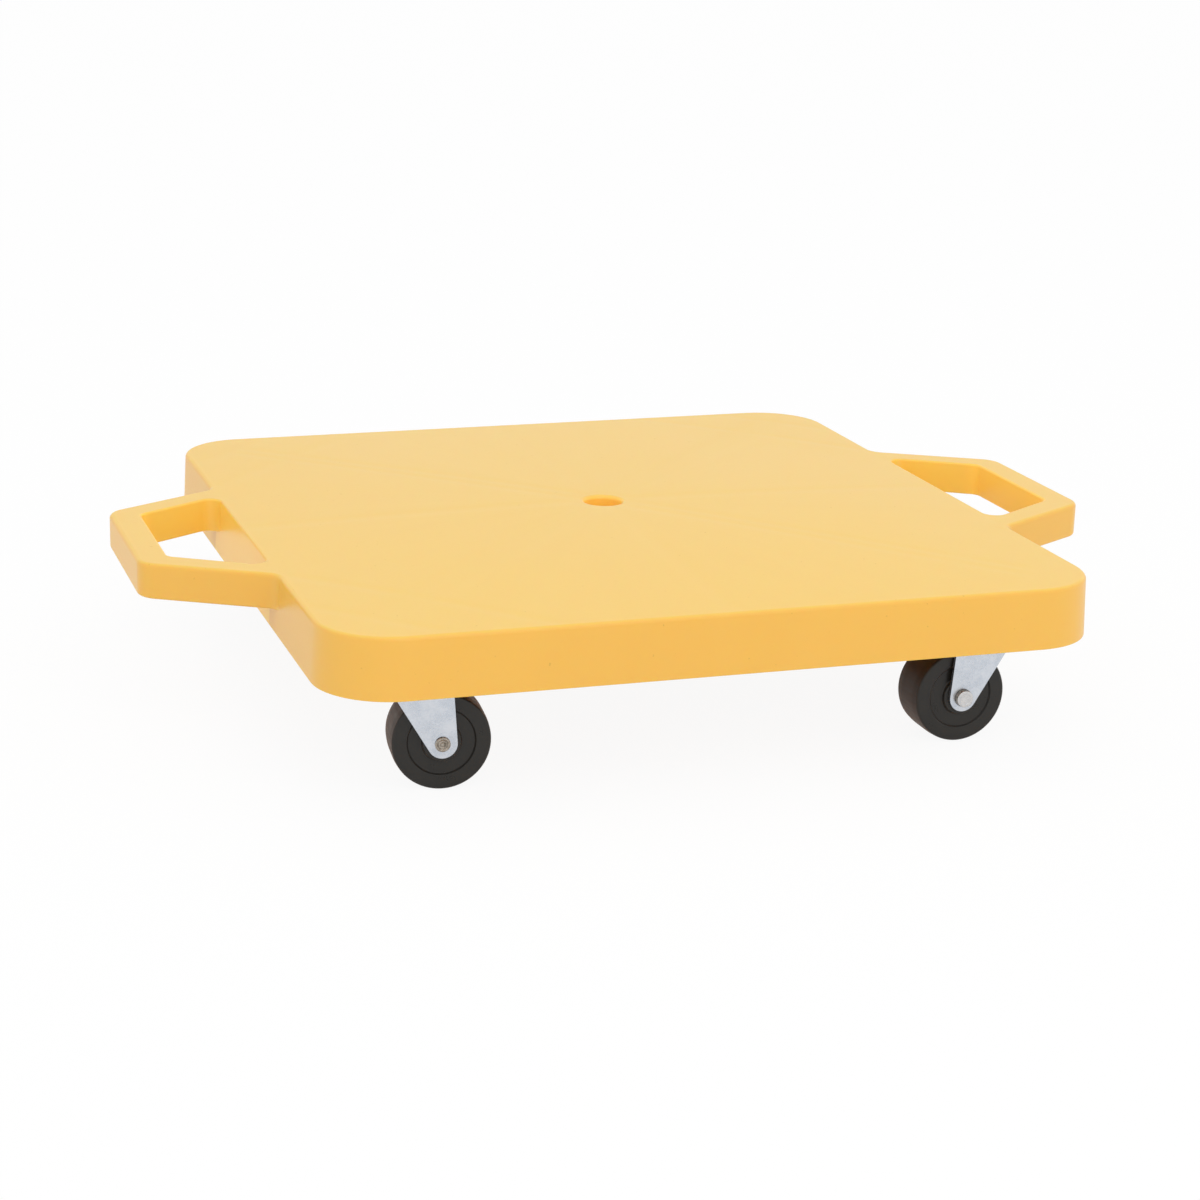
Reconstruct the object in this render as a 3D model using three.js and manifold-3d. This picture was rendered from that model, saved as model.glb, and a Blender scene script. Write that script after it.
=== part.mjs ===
// A scooter board: one moulded plastic deck with a handle at each side, on four swivel casters.
// Millimetres, +Z up. The origin is on the floor under the middle of the deck, and the handles
// reach out along X. Each caster is a pressed steel plate screwed to the deck, a swivel fork on a
// ring of balls, and a hard plastic wheel that turns on a bush round a riveted axle.

import * as THREE from 'three';
import { mergeVertices } from 'three/addons/utils/BufferGeometryUtils.js';
import Module from 'manifold-3d';

const wasm = await Module();
wasm.setup();

// Gaps and overruns
const fitGap = 0.3;
const overrun = 2;
const weldDistance = 0.0001;

// Wheel
const wheelRadius = 25;
const treadWidth = 23.4;
const treadFlatWidth = 13;
const treadDrop = 0.45;
const treadEdge = 1.1;
const rimInnerRadius = 17.3;
const rimStepSlope = 1.4;
const webRecess = 1.5;
const hubRadius = 9.5;
const hubWidth = 25.4;
const mouldDraft = 0.5;

// Axle and bush
const axleRadius = 3;
const bushWall = 1.5;
const peenedEndRadius = 4;
const peenedEndHeight = 0.9;
const axleHeadBaseRadius = 4.6;
const axleHeadRadius = 4.15;
const axleHeadHeight = 3.5;
const axleHeadRound = 0.6;

// Fork, bent from one strip
const forkSteel = 2;
const forkBendRadius = 3;
const casterTrail = 20;
const legEndRadius = 7.4;
const leadingSlant = THREE.MathUtils.degToRad(31.2);
const trailingLean = THREE.MathUtils.degToRad(4.5);
const crownFront = 15.5;
const crownFrontCorner = 9;
const crownNotchDepth = 9;
const crownNotchWidth = 17;
const crownNotchCorner = 5;
const leadingFillet = 4;
const wheelHeadroom = 4.4;

// Swivel race
const ballRadius = 1.5;
const ballCount = 8;
const racePitchRadius = 10.5;
const raceGap = 2.2;
const raceShoulder = 2.9;
const raceBulge = 0.6;
const cageWidth = 1.4;
const cageThickness = 0.8;

// Plate and its screws
const plateSide = 50;
const plateCornerRadius = 6;
const plateSteel = 2;
const plateDish = 1.4;
const plateDishSlope = 1;
const screwPitch = 39;
const screwRadius = 2;
const screwHeadRadius = 4;
const screwHeadHeight = 2;
const screwLength = 14;
const screwPoint = 3;

// King pin and the washer that holds the fork on it
const kingPinRadius = 3.9;
const kingPinHeadRadius = 7;
const kingPinHeadHeight = 1.1;
const kingPinFootRadius = 6.4;
const kingPinFootHeight = 1.6;
const retainerRadius = 8.2;
const retainerThickness = 1.4;

// Deck
const deckLength = 406.4;
const deckWidth = 406.4;
const deckCornerRadius = 37;
const skirtDepth = 31.5;
const skirtFlare = 1.25;
const skirtWall = 4;
const skirtTipWall = 3.2;
const skinThickness = 3.8;
const crownRise = 4.2;
const edgeRadius = 3;
const insideFillet = 2.5;
const casterInset = 44.2;
const seatDepth = 27.7;
const topLand = 48;

// Ribs under the deck
const ribTip = 2.4;
const ribRoot = 3.4;
const twinRibPitch = 10;
const bossRadius = 5.2;
const bossDraft = 0.4;
const centreHoleRadius = 10.4;
const centreHoleRound = 1.8;
const hubWall = 4.6;

// Handles
const handleReach = 64.2;
const handleRootWidth = 175.1;
const handleEndWidth = 104;
const handleDepth = 18.7;
const handleCornerRadius = 14;
const handleNotchRadius = 10;
const handleBuried = 12;
const handleWall = 3.5;
const handleLowerEdge = 1.2;
const openingReach = 47.8;
const openingRootWidth = 141.1;
const openingEndWidth = 83.6;
const openingCornerRadius = 6.5;
const openingEdgeRadius = 1.2;

// Counts of facets
const cornerSteps = 5;
const smallCornerSteps = 2;
const sideSteps = 4;
const filletSteps = 2;
const wheelSides = 24;
const holeSides = 20;
const roundSides = 12;
const smallSides = 6;
const ballSides = 6;
const ballRings = 3;

// Crown rings, as shares of the way from the middle of the deck to its edge
const topShares = [0.84, 0.64, 0.4];
const ceilingShares = [0.6];

// Heights above the floor, worked out from the wheel up
const crownBottom = 2 * wheelRadius + wheelHeadroom;
const crownTop = crownBottom + forkSteel;
const raceFace = crownTop + raceGap;
const plateBottom = raceFace + plateDish;
const plateTop = plateBottom + plateSteel;
const seatHeight = plateTop + fitGap;
const rimHeight = seatHeight + seatDepth;
const skirtBottom = rimHeight - skirtDepth;
const handleBottom = rimHeight - handleDepth;

// Places in plan
const sideX = deckLength / 2;
const casterX = sideX - casterInset;
const casterY = deckWidth / 2 - casterInset;
const plateTurn = Math.PI / 4;
const legInside = hubWidth / 2 + fitGap;
const legOutside = legInside + forkSteel;
const screwPlaces = [[-1, -1], [1, -1], [1, 1], [-1, 1]].map(([across, along]) =>
  new THREE.Vector2(across * screwPitch / 2, along * screwPitch / 2));

// The four casters, with the way each one trails as the board stands
const casters = [
  { name: 'front_left', x: -casterX, y: -casterY, yaw: THREE.MathUtils.degToRad(-6.7) },
  { name: 'front_right', x: casterX, y: -casterY, yaw: THREE.MathUtils.degToRad(180) },
  { name: 'rear_left', x: -casterX, y: casterY, yaw: THREE.MathUtils.degToRad(11) },
  { name: 'rear_right', x: casterX, y: casterY, yaw: THREE.MathUtils.degToRad(167) },
];

const yellowPlastic = { color: 0xf2b950, roughness: 0.38, metalness: 0 };
const zincPlate = { color: 0xc9cdd6, roughness: 0.35, metalness: 0.85 };
const blackPlastic = { color: 0x2f2e2b, roughness: 0.4, metalness: 0 };
const plainSteel = { color: 0x8f877d, roughness: 0.4, metalness: 0.9 };
const brightSteel = { color: 0xb9bcc2, roughness: 0.3, metalness: 0.9 };
const bushPlastic = { color: 0xd8d4c8, roughness: 0.5, metalness: 0 };

// Solids and meshes

function solidOf(geometry) {
  const bare = new THREE.BufferGeometry();
  bare.setAttribute('position', geometry.getAttribute('position'));
  bare.setIndex(geometry.getIndex());
  const merged = mergeVertices(bare, weldDistance);
  const corners = merged.getIndex().array;
  const triangles = [];
  for (let i = 0; i < corners.length; i += 3) {
    const [a, b, c] = corners.slice(i, i + 3);
    if (a !== b && b !== c && c !== a) triangles.push(a, b, c);
  }
  return new wasm.Manifold(new wasm.Mesh({
    numProp: 3,
    vertProperties: Float32Array.from(merged.getAttribute('position').array),
    triVerts: Uint32Array.from(triangles),
  }));
}

function meshOf(name, solid, look) {
  const { vertProperties, triVerts, numProp } = solid.getMesh();
  const geometry = new THREE.BufferGeometry();
  const positions = [];
  for (let i = 0; i < vertProperties.length; i += numProp) {
    positions.push(vertProperties[i], vertProperties[i + 1], vertProperties[i + 2]);
  }
  geometry.setAttribute('position', new THREE.Float32BufferAttribute(positions, 3));
  geometry.setIndex([...triVerts]);
  geometry.computeVertexNormals();
  const mesh = new THREE.Mesh(geometry, new THREE.MeshStandardMaterial(look));
  mesh.name = name;
  return mesh;
}

function joined(solids) {
  return solids.reduce((whole, solid) => whole.add(solid));
}

// A round solid about Z from a profile of [radius, height] points that starts and ends on the
// axis, or closes on itself, and runs upwards along its outside.
function turned(profile, sides, firstAngle = 0) {
  const points = profile.map(([radius, height]) => new THREE.Vector2(radius, height));
  return solidOf(new THREE.LatheGeometry(points, sides, firstAngle).rotateX(Math.PI / 2));
}

function cylinder(radius, low, high, sides) {
  return turned([[0, low], [radius, low], [radius, high], [0, high]], sides);
}

// The ring of space that the balls run in: it cuts one track in the plate and one in the fork.
function ballTrack() {
  const height = crownTop + raceGap / 2;
  const reach = ballRadius + fitGap;
  const mouth = Math.sqrt(reach ** 2 - (raceGap / 2) ** 2);
  const floor = reach / 2;
  const section = [
    [-floor, -reach],
    [floor, -reach],
    [mouth, -raceGap / 2],
    [mouth, raceGap / 2],
    [floor, reach],
    [-floor, reach],
    [-mouth, raceGap / 2],
    [-mouth, -raceGap / 2],
    [-floor, -reach],
  ];
  return turned(section.map(([across, up]) => [racePitchRadius + across, height + up]), roundSides);
}

// Outlines: corners are { x, y, r, steps } and go round against the clock. The result follows
// them with rounded corners, moved inwards by inset. A corner with no radius stays one point, and
// the number of points is the same at every inset.
function roundedOutline(corners, inset = 0, alongSide = 1) {
  const edges = corners.map((corner, i) => {
    const next = corners[(i + 1) % corners.length];
    const way = new THREE.Vector2(next.x - corner.x, next.y - corner.y).normalize();
    const inward = new THREE.Vector2(-way.y, way.x);
    return { way, inward, start: new THREE.Vector2(corner.x, corner.y).addScaledVector(inward, inset) };
  });
  const arcs = corners.map((corner, i) => {
    const before = edges[(i + corners.length - 1) % corners.length];
    const after = edges[i];
    const turn = Math.atan2(before.way.cross(after.way), before.way.dot(after.way));
    const side = Math.sign(turn);
    const steps = corner.r ? corner.steps ?? cornerSteps : 0;
    const radius = steps ? Math.max(corner.r - side * inset, weldDistance) : 0;
    const gap = after.start.clone().sub(before.start);
    const reach = gap.cross(after.way) / before.way.cross(after.way);
    const back = radius * Math.tan(Math.abs(turn) / 2);
    const first = before.start.clone().addScaledVector(before.way, reach - back);
    const centre = first.clone().addScaledVector(before.inward, side * radius);
    return Array.from({ length: steps + 1 }, (_, k) =>
      first.clone().rotateAround(centre, turn * k / Math.max(steps, 1)));
  });
  return arcs.flatMap((arc, i) => {
    const from = arc.at(-1);
    const to = arcs[(i + 1) % arcs.length][0];
    const between = Array.from({ length: alongSide - 1 }, (_, k) =>
      from.clone().lerp(to, (k + 1) / alongSide));
    return [...arc, ...between];
  });
}

function ring(outline, height) {
  return outline.map((point) => new THREE.Vector3(point.x, point.y, height));
}

// A closed solid through rings of equally many points, lowest ring first.
function loft(rings) {
  const count = rings[0].length;
  const faces = [];
  for (let level = 0; level + 1 < rings.length; level += 1) {
    for (let i = 0; i < count; i += 1) {
      const a = level * count + i;
      const b = level * count + (i + 1) % count;
      faces.push(a, b, b + count, a, b + count, a + count);
    }
  }
  const top = (rings.length - 1) * count;
  const flat = (points) => points.map((point) => new THREE.Vector2(point.x, point.y));
  THREE.ShapeUtils.triangulateShape(flat(rings[0]), []).forEach(([a, b, c]) => faces.push(c, b, a));
  THREE.ShapeUtils.triangulateShape(flat(rings.at(-1)), []).forEach(([a, b, c]) =>
    faces.push(top + a, top + b, top + c));
  const geometry = new THREE.BufferGeometry();
  const positions = rings.flat().flatMap((point) => [point.x, point.y, point.z]);
  geometry.setAttribute('position', new THREE.Float32BufferAttribute(positions, 3));
  geometry.setIndex(faces);
  return solidOf(geometry);
}

// Rings that carry an upright wall over a rounded top edge: the last one lies at the given top,
// moved inwards by the radius. A negative radius flares outwards instead, for a cutter.
function edgeRings(corners, radius, top, alongSide = 1) {
  return Array.from({ length: filletSteps + 1 }, (_, k) => {
    const angle = Math.PI / 2 * k / filletSteps;
    const inset = radius * (1 - Math.cos(angle));
    const height = top - Math.abs(radius) * (1 - Math.sin(angle));
    return ring(roundedOutline(corners, inset, alongSide), height);
  });
}

// A prism whose section lies across the given way, measured from its middle: the section's x
// runs along side, its y along up, and it is as long as the distance from start to end.
function prism(section, side, up, length, place) {
  const shape = new THREE.Shape(section);
  const geometry = new THREE.ExtrudeGeometry(shape, { depth: length, bevelEnabled: false });
  const along = side.clone().cross(up);
  const turn = new THREE.Matrix4().makeBasis(side, up, along).setPosition(place);
  return solidOf(geometry.applyMatrix4(turn));
}

// Deck

const deckCorners = [[-1, -1], [1, -1], [1, 1], [-1, 1]].map(([x, y]) =>
  ({ x: x * sideX, y: y * deckWidth / 2, r: deckCornerRadius }));

// The top is a shallow cushion: level at the rim, highest in the middle, with a flat land there.
function crownHeight(x, y) {
  const halfX = sideX - edgeRadius;
  const halfY = deckWidth / 2 - edgeRadius;
  const rise = (u, v) => crownRise * (1 - (u / halfX) ** 2) * (1 - (v / halfY) ** 2);
  return rimHeight + Math.min(rise(x, y), rise(topLand / 2, topLand / 2));
}

// Rings of the crowned surface, moved down by drop, inside the outline at the given inset.
function crownRings(inset, drop, shares) {
  const edge = roundedOutline(deckCorners, inset, sideSteps);
  const landShare = topLand / 2 / (sideX - inset);
  return [1, ...shares, landShare].map((share) => edge.map((point) => {
    const x = point.x * share;
    const y = point.y * share;
    return new THREE.Vector3(x, y, crownHeight(x, y) - drop);
  }));
}

function deckBlock() {
  return loft([
    ring(roundedOutline(deckCorners, -skirtFlare, sideSteps), skirtBottom),
    ...edgeRings(deckCorners, edgeRadius, rimHeight, sideSteps).slice(0, -1),
    ...crownRings(edgeRadius, 0, topShares),
  ]);
}

function deckHollow() {
  const ceiling = rimHeight - skinThickness;
  return loft([
    ring(roundedOutline(deckCorners, skirtTipWall - skirtFlare, sideSteps), skirtBottom - overrun),
    ring(roundedOutline(deckCorners, skirtTipWall - skirtFlare, sideSteps), skirtBottom),
    ring(roundedOutline(deckCorners, skirtWall, sideSteps), ceiling - insideFillet),
    ...crownRings(skirtWall + insideFillet, skinThickness, ceilingShares),
  ]);
}

// A rib hangs from the skin between two points in plan, thinner at its lower edge.
function rib(from, to) {
  const top = rimHeight + crownRise;
  const section = [
    new THREE.Vector2(-ribTip / 2, seatHeight),
    new THREE.Vector2(ribTip / 2, seatHeight),
    new THREE.Vector2(ribRoot / 2, top),
    new THREE.Vector2(-ribRoot / 2, top),
  ];
  const way = to.clone().sub(from);
  const side = new THREE.Vector3(-way.y, way.x, 0).normalize();
  const up = new THREE.Vector3(0, 0, 1);
  return prism(section, side, up, way.length(), new THREE.Vector3(from.x, from.y, 0));
}

function axisRibs() {
  const middle = new THREE.Vector2(0, 0);
  const ends = [[1, 0], [0, 1], [-1, 0], [0, -1]];
  return ends.map(([x, y]) => rib(middle, new THREE.Vector2(x * sideX, y * deckWidth / 2)));
}

// The diagonal ribs run in pairs from the hub to the far side of each caster seat.
function twinRibs(caster) {
  const axis = new THREE.Vector2(caster.x, caster.y);
  const way = axis.clone().normalize();
  const across = new THREE.Vector2(-way.y, way.x);
  const end = axis.clone().addScaledVector(way, screwPitch / 2);
  return [-1, 1].map((side) => {
    const shift = across.clone().multiplyScalar(side * twinRibPitch / 2);
    return rib(shift, end.clone().add(shift));
  });
}

// Two ribs cross each corner from side wall to side wall, under the two rows of screws.
function chordRibs(caster) {
  const axis = new THREE.Vector2(caster.x, caster.y);
  const outward = new THREE.Vector2(Math.sign(caster.x), Math.sign(caster.y)).normalize();
  const along = new THREE.Vector2(-outward.y, outward.x);
  return [-1, 1].map((side) => {
    const middle = axis.clone().addScaledVector(outward, side * screwPitch / 2);
    const toWall = (sideX - Math.abs(middle.x)) * Math.SQRT2;
    const from = middle.clone().addScaledVector(along, -toWall);
    const to = middle.clone().addScaledVector(along, toWall);
    return rib(from, to);
  });
}

function screwCentres(caster) {
  return screwPlaces.map((place) =>
    place.clone().rotateAround(new THREE.Vector2(), plateTurn).add(new THREE.Vector2(caster.x, caster.y)));
}

function screwBosses(caster) {
  const top = rimHeight + crownRise;
  const profile = [[0, seatHeight], [bossRadius, seatHeight], [bossRadius + bossDraft, top], [0, top]];
  return screwCentres(caster).map(({ x, y }) => turned(profile, smallSides).translate([x, y, 0]));
}

function screwHoles(caster) {
  const depth = seatHeight + screwLength;
  return screwCentres(caster).map(({ x, y }) =>
    cylinder(screwRadius + fitGap, seatHeight - overrun, depth, smallSides).translate([x, y, 0]));
}

function centreHub() {
  const radius = centreHoleRadius + hubWall;
  return cylinder(radius, seatHeight, rimHeight + crownRise, holeSides);
}

function centreHole() {
  const top = crownHeight(0, 0);
  const rounding = Array.from({ length: filletSteps + 1 }, (_, k) => {
    const angle = Math.PI / 2 * k / filletSteps;
    return [
      centreHoleRadius + centreHoleRound * (1 - Math.cos(angle)),
      top - centreHoleRound * (1 - Math.sin(angle)),
    ];
  });
  const foot = skirtBottom - overrun;
  const mouth = [centreHoleRadius + centreHoleRound, top + overrun];
  return turned([[0, foot], [centreHoleRadius, foot], ...rounding, mouth, [0, mouth[1]]], holeSides);
}

// Handles: each is drawn at the right side, and turned half round for the left.

const handleCorners = [
  { x: sideX - handleBuried, y: -handleRootWidth / 2 - handleNotchRadius, r: 0 },
  { x: sideX, y: -handleRootWidth / 2 - handleNotchRadius, r: 0 },
  { x: sideX, y: -handleRootWidth / 2, r: handleNotchRadius },
  { x: sideX + handleReach, y: -handleEndWidth / 2, r: handleCornerRadius },
  { x: sideX + handleReach, y: handleEndWidth / 2, r: handleCornerRadius },
  { x: sideX, y: handleRootWidth / 2, r: handleNotchRadius },
  { x: sideX, y: handleRootWidth / 2 + handleNotchRadius, r: 0 },
  { x: sideX - handleBuried, y: handleRootWidth / 2 + handleNotchRadius, r: 0 },
];

const openingCorners = [[0, -openingRootWidth], [openingReach, -openingEndWidth],
  [openingReach, openingEndWidth], [0, openingRootWidth]].map(([out, width]) =>
  ({ x: sideX + out, y: width / 2, r: openingCornerRadius, steps: smallCornerSteps }));

function handleBar() {
  return loft([
    ring(roundedOutline(handleCorners, handleLowerEdge), handleBottom),
    ring(roundedOutline(handleCorners), handleBottom + handleLowerEdge),
    ...edgeRings(handleCorners, edgeRadius, rimHeight),
  ]);
}

function handleOpening() {
  return loft([
    ring(roundedOutline(openingCorners), handleBottom - overrun),
    ...edgeRings(openingCorners, -openingEdgeRadius, rimHeight),
    ring(roundedOutline(openingCorners, -openingEdgeRadius), rimHeight + overrun),
  ]);
}

// The bar is open below, so that its walls are as thin as the rest of the moulding.
function handleChannel() {
  const low = handleBottom - overrun;
  const high = rimHeight - skinThickness;
  const upright = (corners, inset) => {
    const outline = roundedOutline(corners, inset);
    return loft([ring(outline, low - overrun), ring(outline, high + overrun)]);
  };
  const inside = roundedOutline(handleCorners, handleWall);
  return loft([ring(inside, low), ring(inside, high)])
    .subtract(upright(openingCorners, -handleWall))
    .subtract(upright(deckCorners, -handleWall));
}

function handle() {
  return handleBar().subtract(handleOpening()).subtract(handleChannel());
}

function deck() {
  const underside = joined([
    centreHub(),
    ...axisRibs(),
    ...casters.flatMap((caster) => [...twinRibs(caster), ...chordRibs(caster), ...screwBosses(caster)]),
  ]);
  const right = handle();
  const left = right.rotate([0, 0, 180]);
  const hollow = deckHollow().subtract(underside);
  const holes = joined([centreHole(), ...casters.flatMap(screwHoles)]);
  return deckBlock().add(right).add(left).subtract(hollow).subtract(holes);
}

// Caster plate: dished in the middle, so that the king pin's head lies flush and the lower face
// of the dish carries the upper ball track.
function casterPlate() {
  const half = plateSide / 2;
  const corners = [[-1, -1], [1, -1], [1, 1], [-1, 1]].map(([x, y]) =>
    ({ x: x * half, y: y * half, r: plateCornerRadius, steps: smallCornerSteps }));
  const outline = roundedOutline(corners);
  const flat = loft([ring(outline, plateBottom), ring(outline, plateTop)]);
  const dishRadius = racePitchRadius + raceShoulder;
  const dish = turned([
    [0, raceFace],
    [dishRadius, raceFace],
    [dishRadius + plateDishSlope, plateBottom],
    [dishRadius + plateDishSlope, plateTop],
    [0, plateTop],
  ], roundSides);
  const recess = turned([
    [0, raceFace + plateSteel],
    [dishRadius - plateSteel, raceFace + plateSteel],
    [dishRadius - plateSteel + plateDishSlope, plateTop],
    [dishRadius - plateSteel + plateDishSlope, plateTop + overrun],
    [0, plateTop + overrun],
  ], roundSides);
  const pinHole = cylinder(kingPinRadius + fitGap, raceFace - overrun, plateTop + overrun, roundSides);
  const screwHole = cylinder(screwRadius + fitGap, plateBottom - overrun, plateTop + overrun, smallSides);
  const holes = screwPlaces.map(({ x, y }) => screwHole.translate([x, y, 0]));
  return joined([flat, dish]).subtract(joined([recess, pinHole, ...holes])).subtract(ballTrack());
}

function screw() {
  const headTop = plateBottom - fitGap;
  const headBottom = headTop - screwHeadHeight;
  const tip = plateTop + screwLength - fitGap;
  return turned([
    [0, headBottom],
    [screwHeadRadius / 2, headBottom],
    [screwHeadRadius, headTop - screwHeadHeight / 2],
    [screwHeadRadius, headTop],
    [screwRadius, headTop],
    [screwRadius, tip - screwPoint],
    [0, tip],
  ], smallSides);
}

function kingPin() {
  const headBottom = raceFace + plateSteel + fitGap;
  const headTop = headBottom + kingPinHeadHeight;
  const footTop = crownBottom - raceBulge - 2 * fitGap - retainerThickness;
  const footBottom = footTop - kingPinFootHeight;
  return turned([
    [0, footBottom],
    [kingPinFootRadius / 2, footBottom],
    [kingPinFootRadius, footTop - kingPinFootHeight / 2],
    [kingPinFootRadius, footTop],
    [kingPinRadius, footTop],
    [kingPinRadius, headBottom],
    [kingPinHeadRadius, headBottom],
    [kingPinHeadRadius, headTop],
    [0, headTop],
  ], roundSides);
}

function retainer() {
  const top = crownBottom - raceBulge - fitGap;
  const low = top - retainerThickness;
  const bore = kingPinRadius + fitGap;
  return turned([
    [bore, low],
    [retainerRadius - retainerThickness / 2, low],
    [retainerRadius, low + retainerThickness / 2],
    [retainerRadius, top],
    [bore, top],
    [bore, low],
  ], roundSides);
}

// Ball race: the balls sit in a flat cage ring, half way between the two tracks.
function ballRace() {
  const height = crownTop + raceGap / 2;
  const inner = racePitchRadius - cageWidth / 2;
  const outer = racePitchRadius + cageWidth / 2;
  const low = height - cageThickness / 2;
  const high = height + cageThickness / 2;
  const cage = turned([[inner, low], [outer, low], [outer, high], [inner, high], [inner, low]], roundSides);
  const ball = new THREE.SphereGeometry(ballRadius, ballSides, ballRings).rotateX(Math.PI / 2);
  const firstBall = solidOf(ball.translate(racePitchRadius, 0, height));
  const balls = Array.from({ length: ballCount }, (_, i) => firstBall.rotate([0, 0, 360 * i / ballCount]));
  return joined([cage, ...balls]);
}

// Fork: what a bent channel, the side view of its legs and the plan of its crown have in common.

function forkChannel() {
  const low = wheelRadius - legEndRadius - overrun;
  const corners = [
    { x: -legOutside, y: low, r: 0 },
    { x: -legInside, y: low, r: 0 },
    { x: -legInside, y: crownBottom, r: forkBendRadius - forkSteel, steps: smallCornerSteps },
    { x: legInside, y: crownBottom, r: forkBendRadius - forkSteel, steps: smallCornerSteps },
    { x: legInside, y: low, r: 0 },
    { x: legOutside, y: low, r: 0 },
    { x: legOutside, y: crownTop, r: forkBendRadius, steps: smallCornerSteps },
    { x: -legOutside, y: crownTop, r: forkBendRadius, steps: smallCornerSteps },
  ];
  const from = -crownFront - overrun;
  const length = casterTrail + legEndRadius - from;
  const side = new THREE.Vector3(0, 1, 0);
  const up = new THREE.Vector3(0, 0, 1);
  return prism(roundedOutline(corners), side, up, length, new THREE.Vector3(from, 0, 0));
}

// Side view: a round end about the axle, a steep trailing edge, and a leading edge that slants
// up to the crown.
function forkSideView() {
  const legTop = crownTop - forkBendRadius - forkSteel / 2;
  const fromAxle = (angle) =>
    new THREE.Vector2(Math.cos(angle), Math.sin(angle)).multiplyScalar(legEndRadius);
  const lead = fromAxle(Math.PI + leadingSlant);
  const trail = fromAxle(trailingLean);
  const axle = new THREE.Vector2(casterTrail, wheelRadius);
  const leadStart = axle.clone().add(lead);
  const trailStart = axle.clone().add(trail);
  const leadTop = leadStart.x - (legTop - leadStart.y) * Math.tan(leadingSlant);
  const trailTop = trailStart.x - (crownTop + overrun - trailStart.y) * Math.tan(trailingLean);
  const arc = Array.from({ length: 2 * cornerSteps + 1 }, (_, k) => {
    const sweep = Math.PI + trailingLean - leadingSlant;
    return lead.clone().rotateAround(new THREE.Vector2(), sweep * k / (2 * cornerSteps)).add(axle);
  });
  const shoulder = roundedOutline([
    { x: leadStart.x, y: leadStart.y, r: 0 },
    { x: trailTop, y: crownTop + overrun, r: 0 },
    { x: -crownFront - overrun, y: crownTop + overrun, r: 0 },
    { x: -crownFront - overrun, y: legTop, r: 0 },
    { x: leadTop, y: legTop, r: leadingFillet, steps: smallCornerSteps },
  ]).slice(1);
  const width = 2 * (legOutside + overrun);
  const side = new THREE.Vector3(1, 0, 0);
  const up = new THREE.Vector3(0, 0, 1);
  return prism([...arc, ...shoulder], side, up, width, new THREE.Vector3(0, width / 2, 0));
}

// Plan: the front of the crown is rounded, and its back is notched between the legs.
function forkPlan() {
  const back = casterTrail + legEndRadius;
  const wide = legOutside + overrun;
  const outline = roundedOutline([
    { x: -crownFront, y: -wide, r: crownFrontCorner + overrun },
    { x: back, y: -wide, r: 0 },
    { x: back, y: wide, r: 0 },
    { x: -crownFront, y: wide, r: crownFrontCorner + overrun },
  ]);
  const low = wheelRadius - wide;
  const plan = loft([ring(outline, low), ring(outline, crownTop + overrun)]);
  const notch = roundedOutline([
    { x: back - crownNotchDepth, y: -crownNotchWidth / 2, r: crownNotchCorner, steps: smallCornerSteps },
    { x: back + crownNotchDepth, y: -crownNotchWidth / 2, r: 0 },
    { x: back + crownNotchDepth, y: crownNotchWidth / 2, r: 0 },
    { x: back - crownNotchDepth, y: crownNotchWidth / 2, r: crownNotchCorner, steps: smallCornerSteps },
  ]);
  return plan.subtract(loft([ring(notch, low - overrun), ring(notch, crownTop + 2 * overrun)]));
}

function fork() {
  const bent = forkChannel().intersect(forkSideView()).intersect(forkPlan());
  const bulgeOuter = racePitchRadius + raceShoulder / 2;
  const bulge = turned([
    [0, crownBottom - raceBulge],
    [bulgeOuter, crownBottom - raceBulge],
    [bulgeOuter + raceBulge, crownBottom + forkSteel / 2],
    [0, crownBottom + forkSteel / 2],
  ], roundSides);
  const pinHole = cylinder(kingPinRadius + fitGap, crownBottom - overrun, crownTop + overrun, roundSides);
  const axleHole = cylinder(axleRadius + fitGap, -legOutside - overrun, legOutside + overrun, roundSides)
    .rotate([90, 0, 0])
    .translate([casterTrail, 0, wheelRadius]);
  return bent.add(bulge).subtract(joined([pinHole, axleHole, ballTrack()]));
}

// The axle, bush and wheel are turned about Z here, and laid along Y where they are placed.

function axle() {
  const peenedFace = legOutside + fitGap;
  const headFace = legOutside + fitGap;
  return turned([
    [0, -peenedFace - peenedEndHeight],
    [peenedEndRadius - peenedEndHeight / 2, -peenedFace - peenedEndHeight],
    [peenedEndRadius, -peenedFace - peenedEndHeight / 2],
    [peenedEndRadius, -peenedFace],
    [axleRadius, -peenedFace],
    [axleRadius, headFace],
    [axleHeadBaseRadius, headFace],
    [axleHeadRadius, headFace + axleHeadHeight - axleHeadRound],
    [axleHeadRadius - axleHeadRound, headFace + axleHeadHeight],
    [0, headFace + axleHeadHeight],
  ], roundSides);
}

function bush() {
  const bore = axleRadius + fitGap;
  const outer = bore + bushWall;
  const half = hubWidth / 2;
  return turned([[bore, -half], [outer, -half], [outer, half], [bore, half], [bore, -half]], roundSides);
}

// The wheel's flats are as far from the axle as its radius, so that it stands on one of them.
function wheel() {
  const bore = axleRadius + fitGap + bushWall + fitGap;
  const face = treadWidth / 2;
  const web = face - webRecess;
  const toCorner = 1 / Math.cos(Math.PI / wheelSides);
  const half = [
    [bore, hubWidth / 2],
    [hubRadius, hubWidth / 2],
    [hubRadius + mouldDraft, web],
    [rimInnerRadius - rimStepSlope, web],
    [rimInnerRadius, face],
    [wheelRadius - treadDrop - treadEdge, face],
    [wheelRadius - treadDrop, face - treadEdge],
    [wheelRadius, treadFlatWidth / 2],
  ];
  const lower = half.map(([radius, height]) => [radius, -height]);
  const upper = [...half].reverse();
  const profile = [...lower, ...upper, lower[0]].map(([radius, height]) => [radius * toCorner, height]);
  return turned(profile, wheelSides, Math.PI / wheelSides);
}

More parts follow.
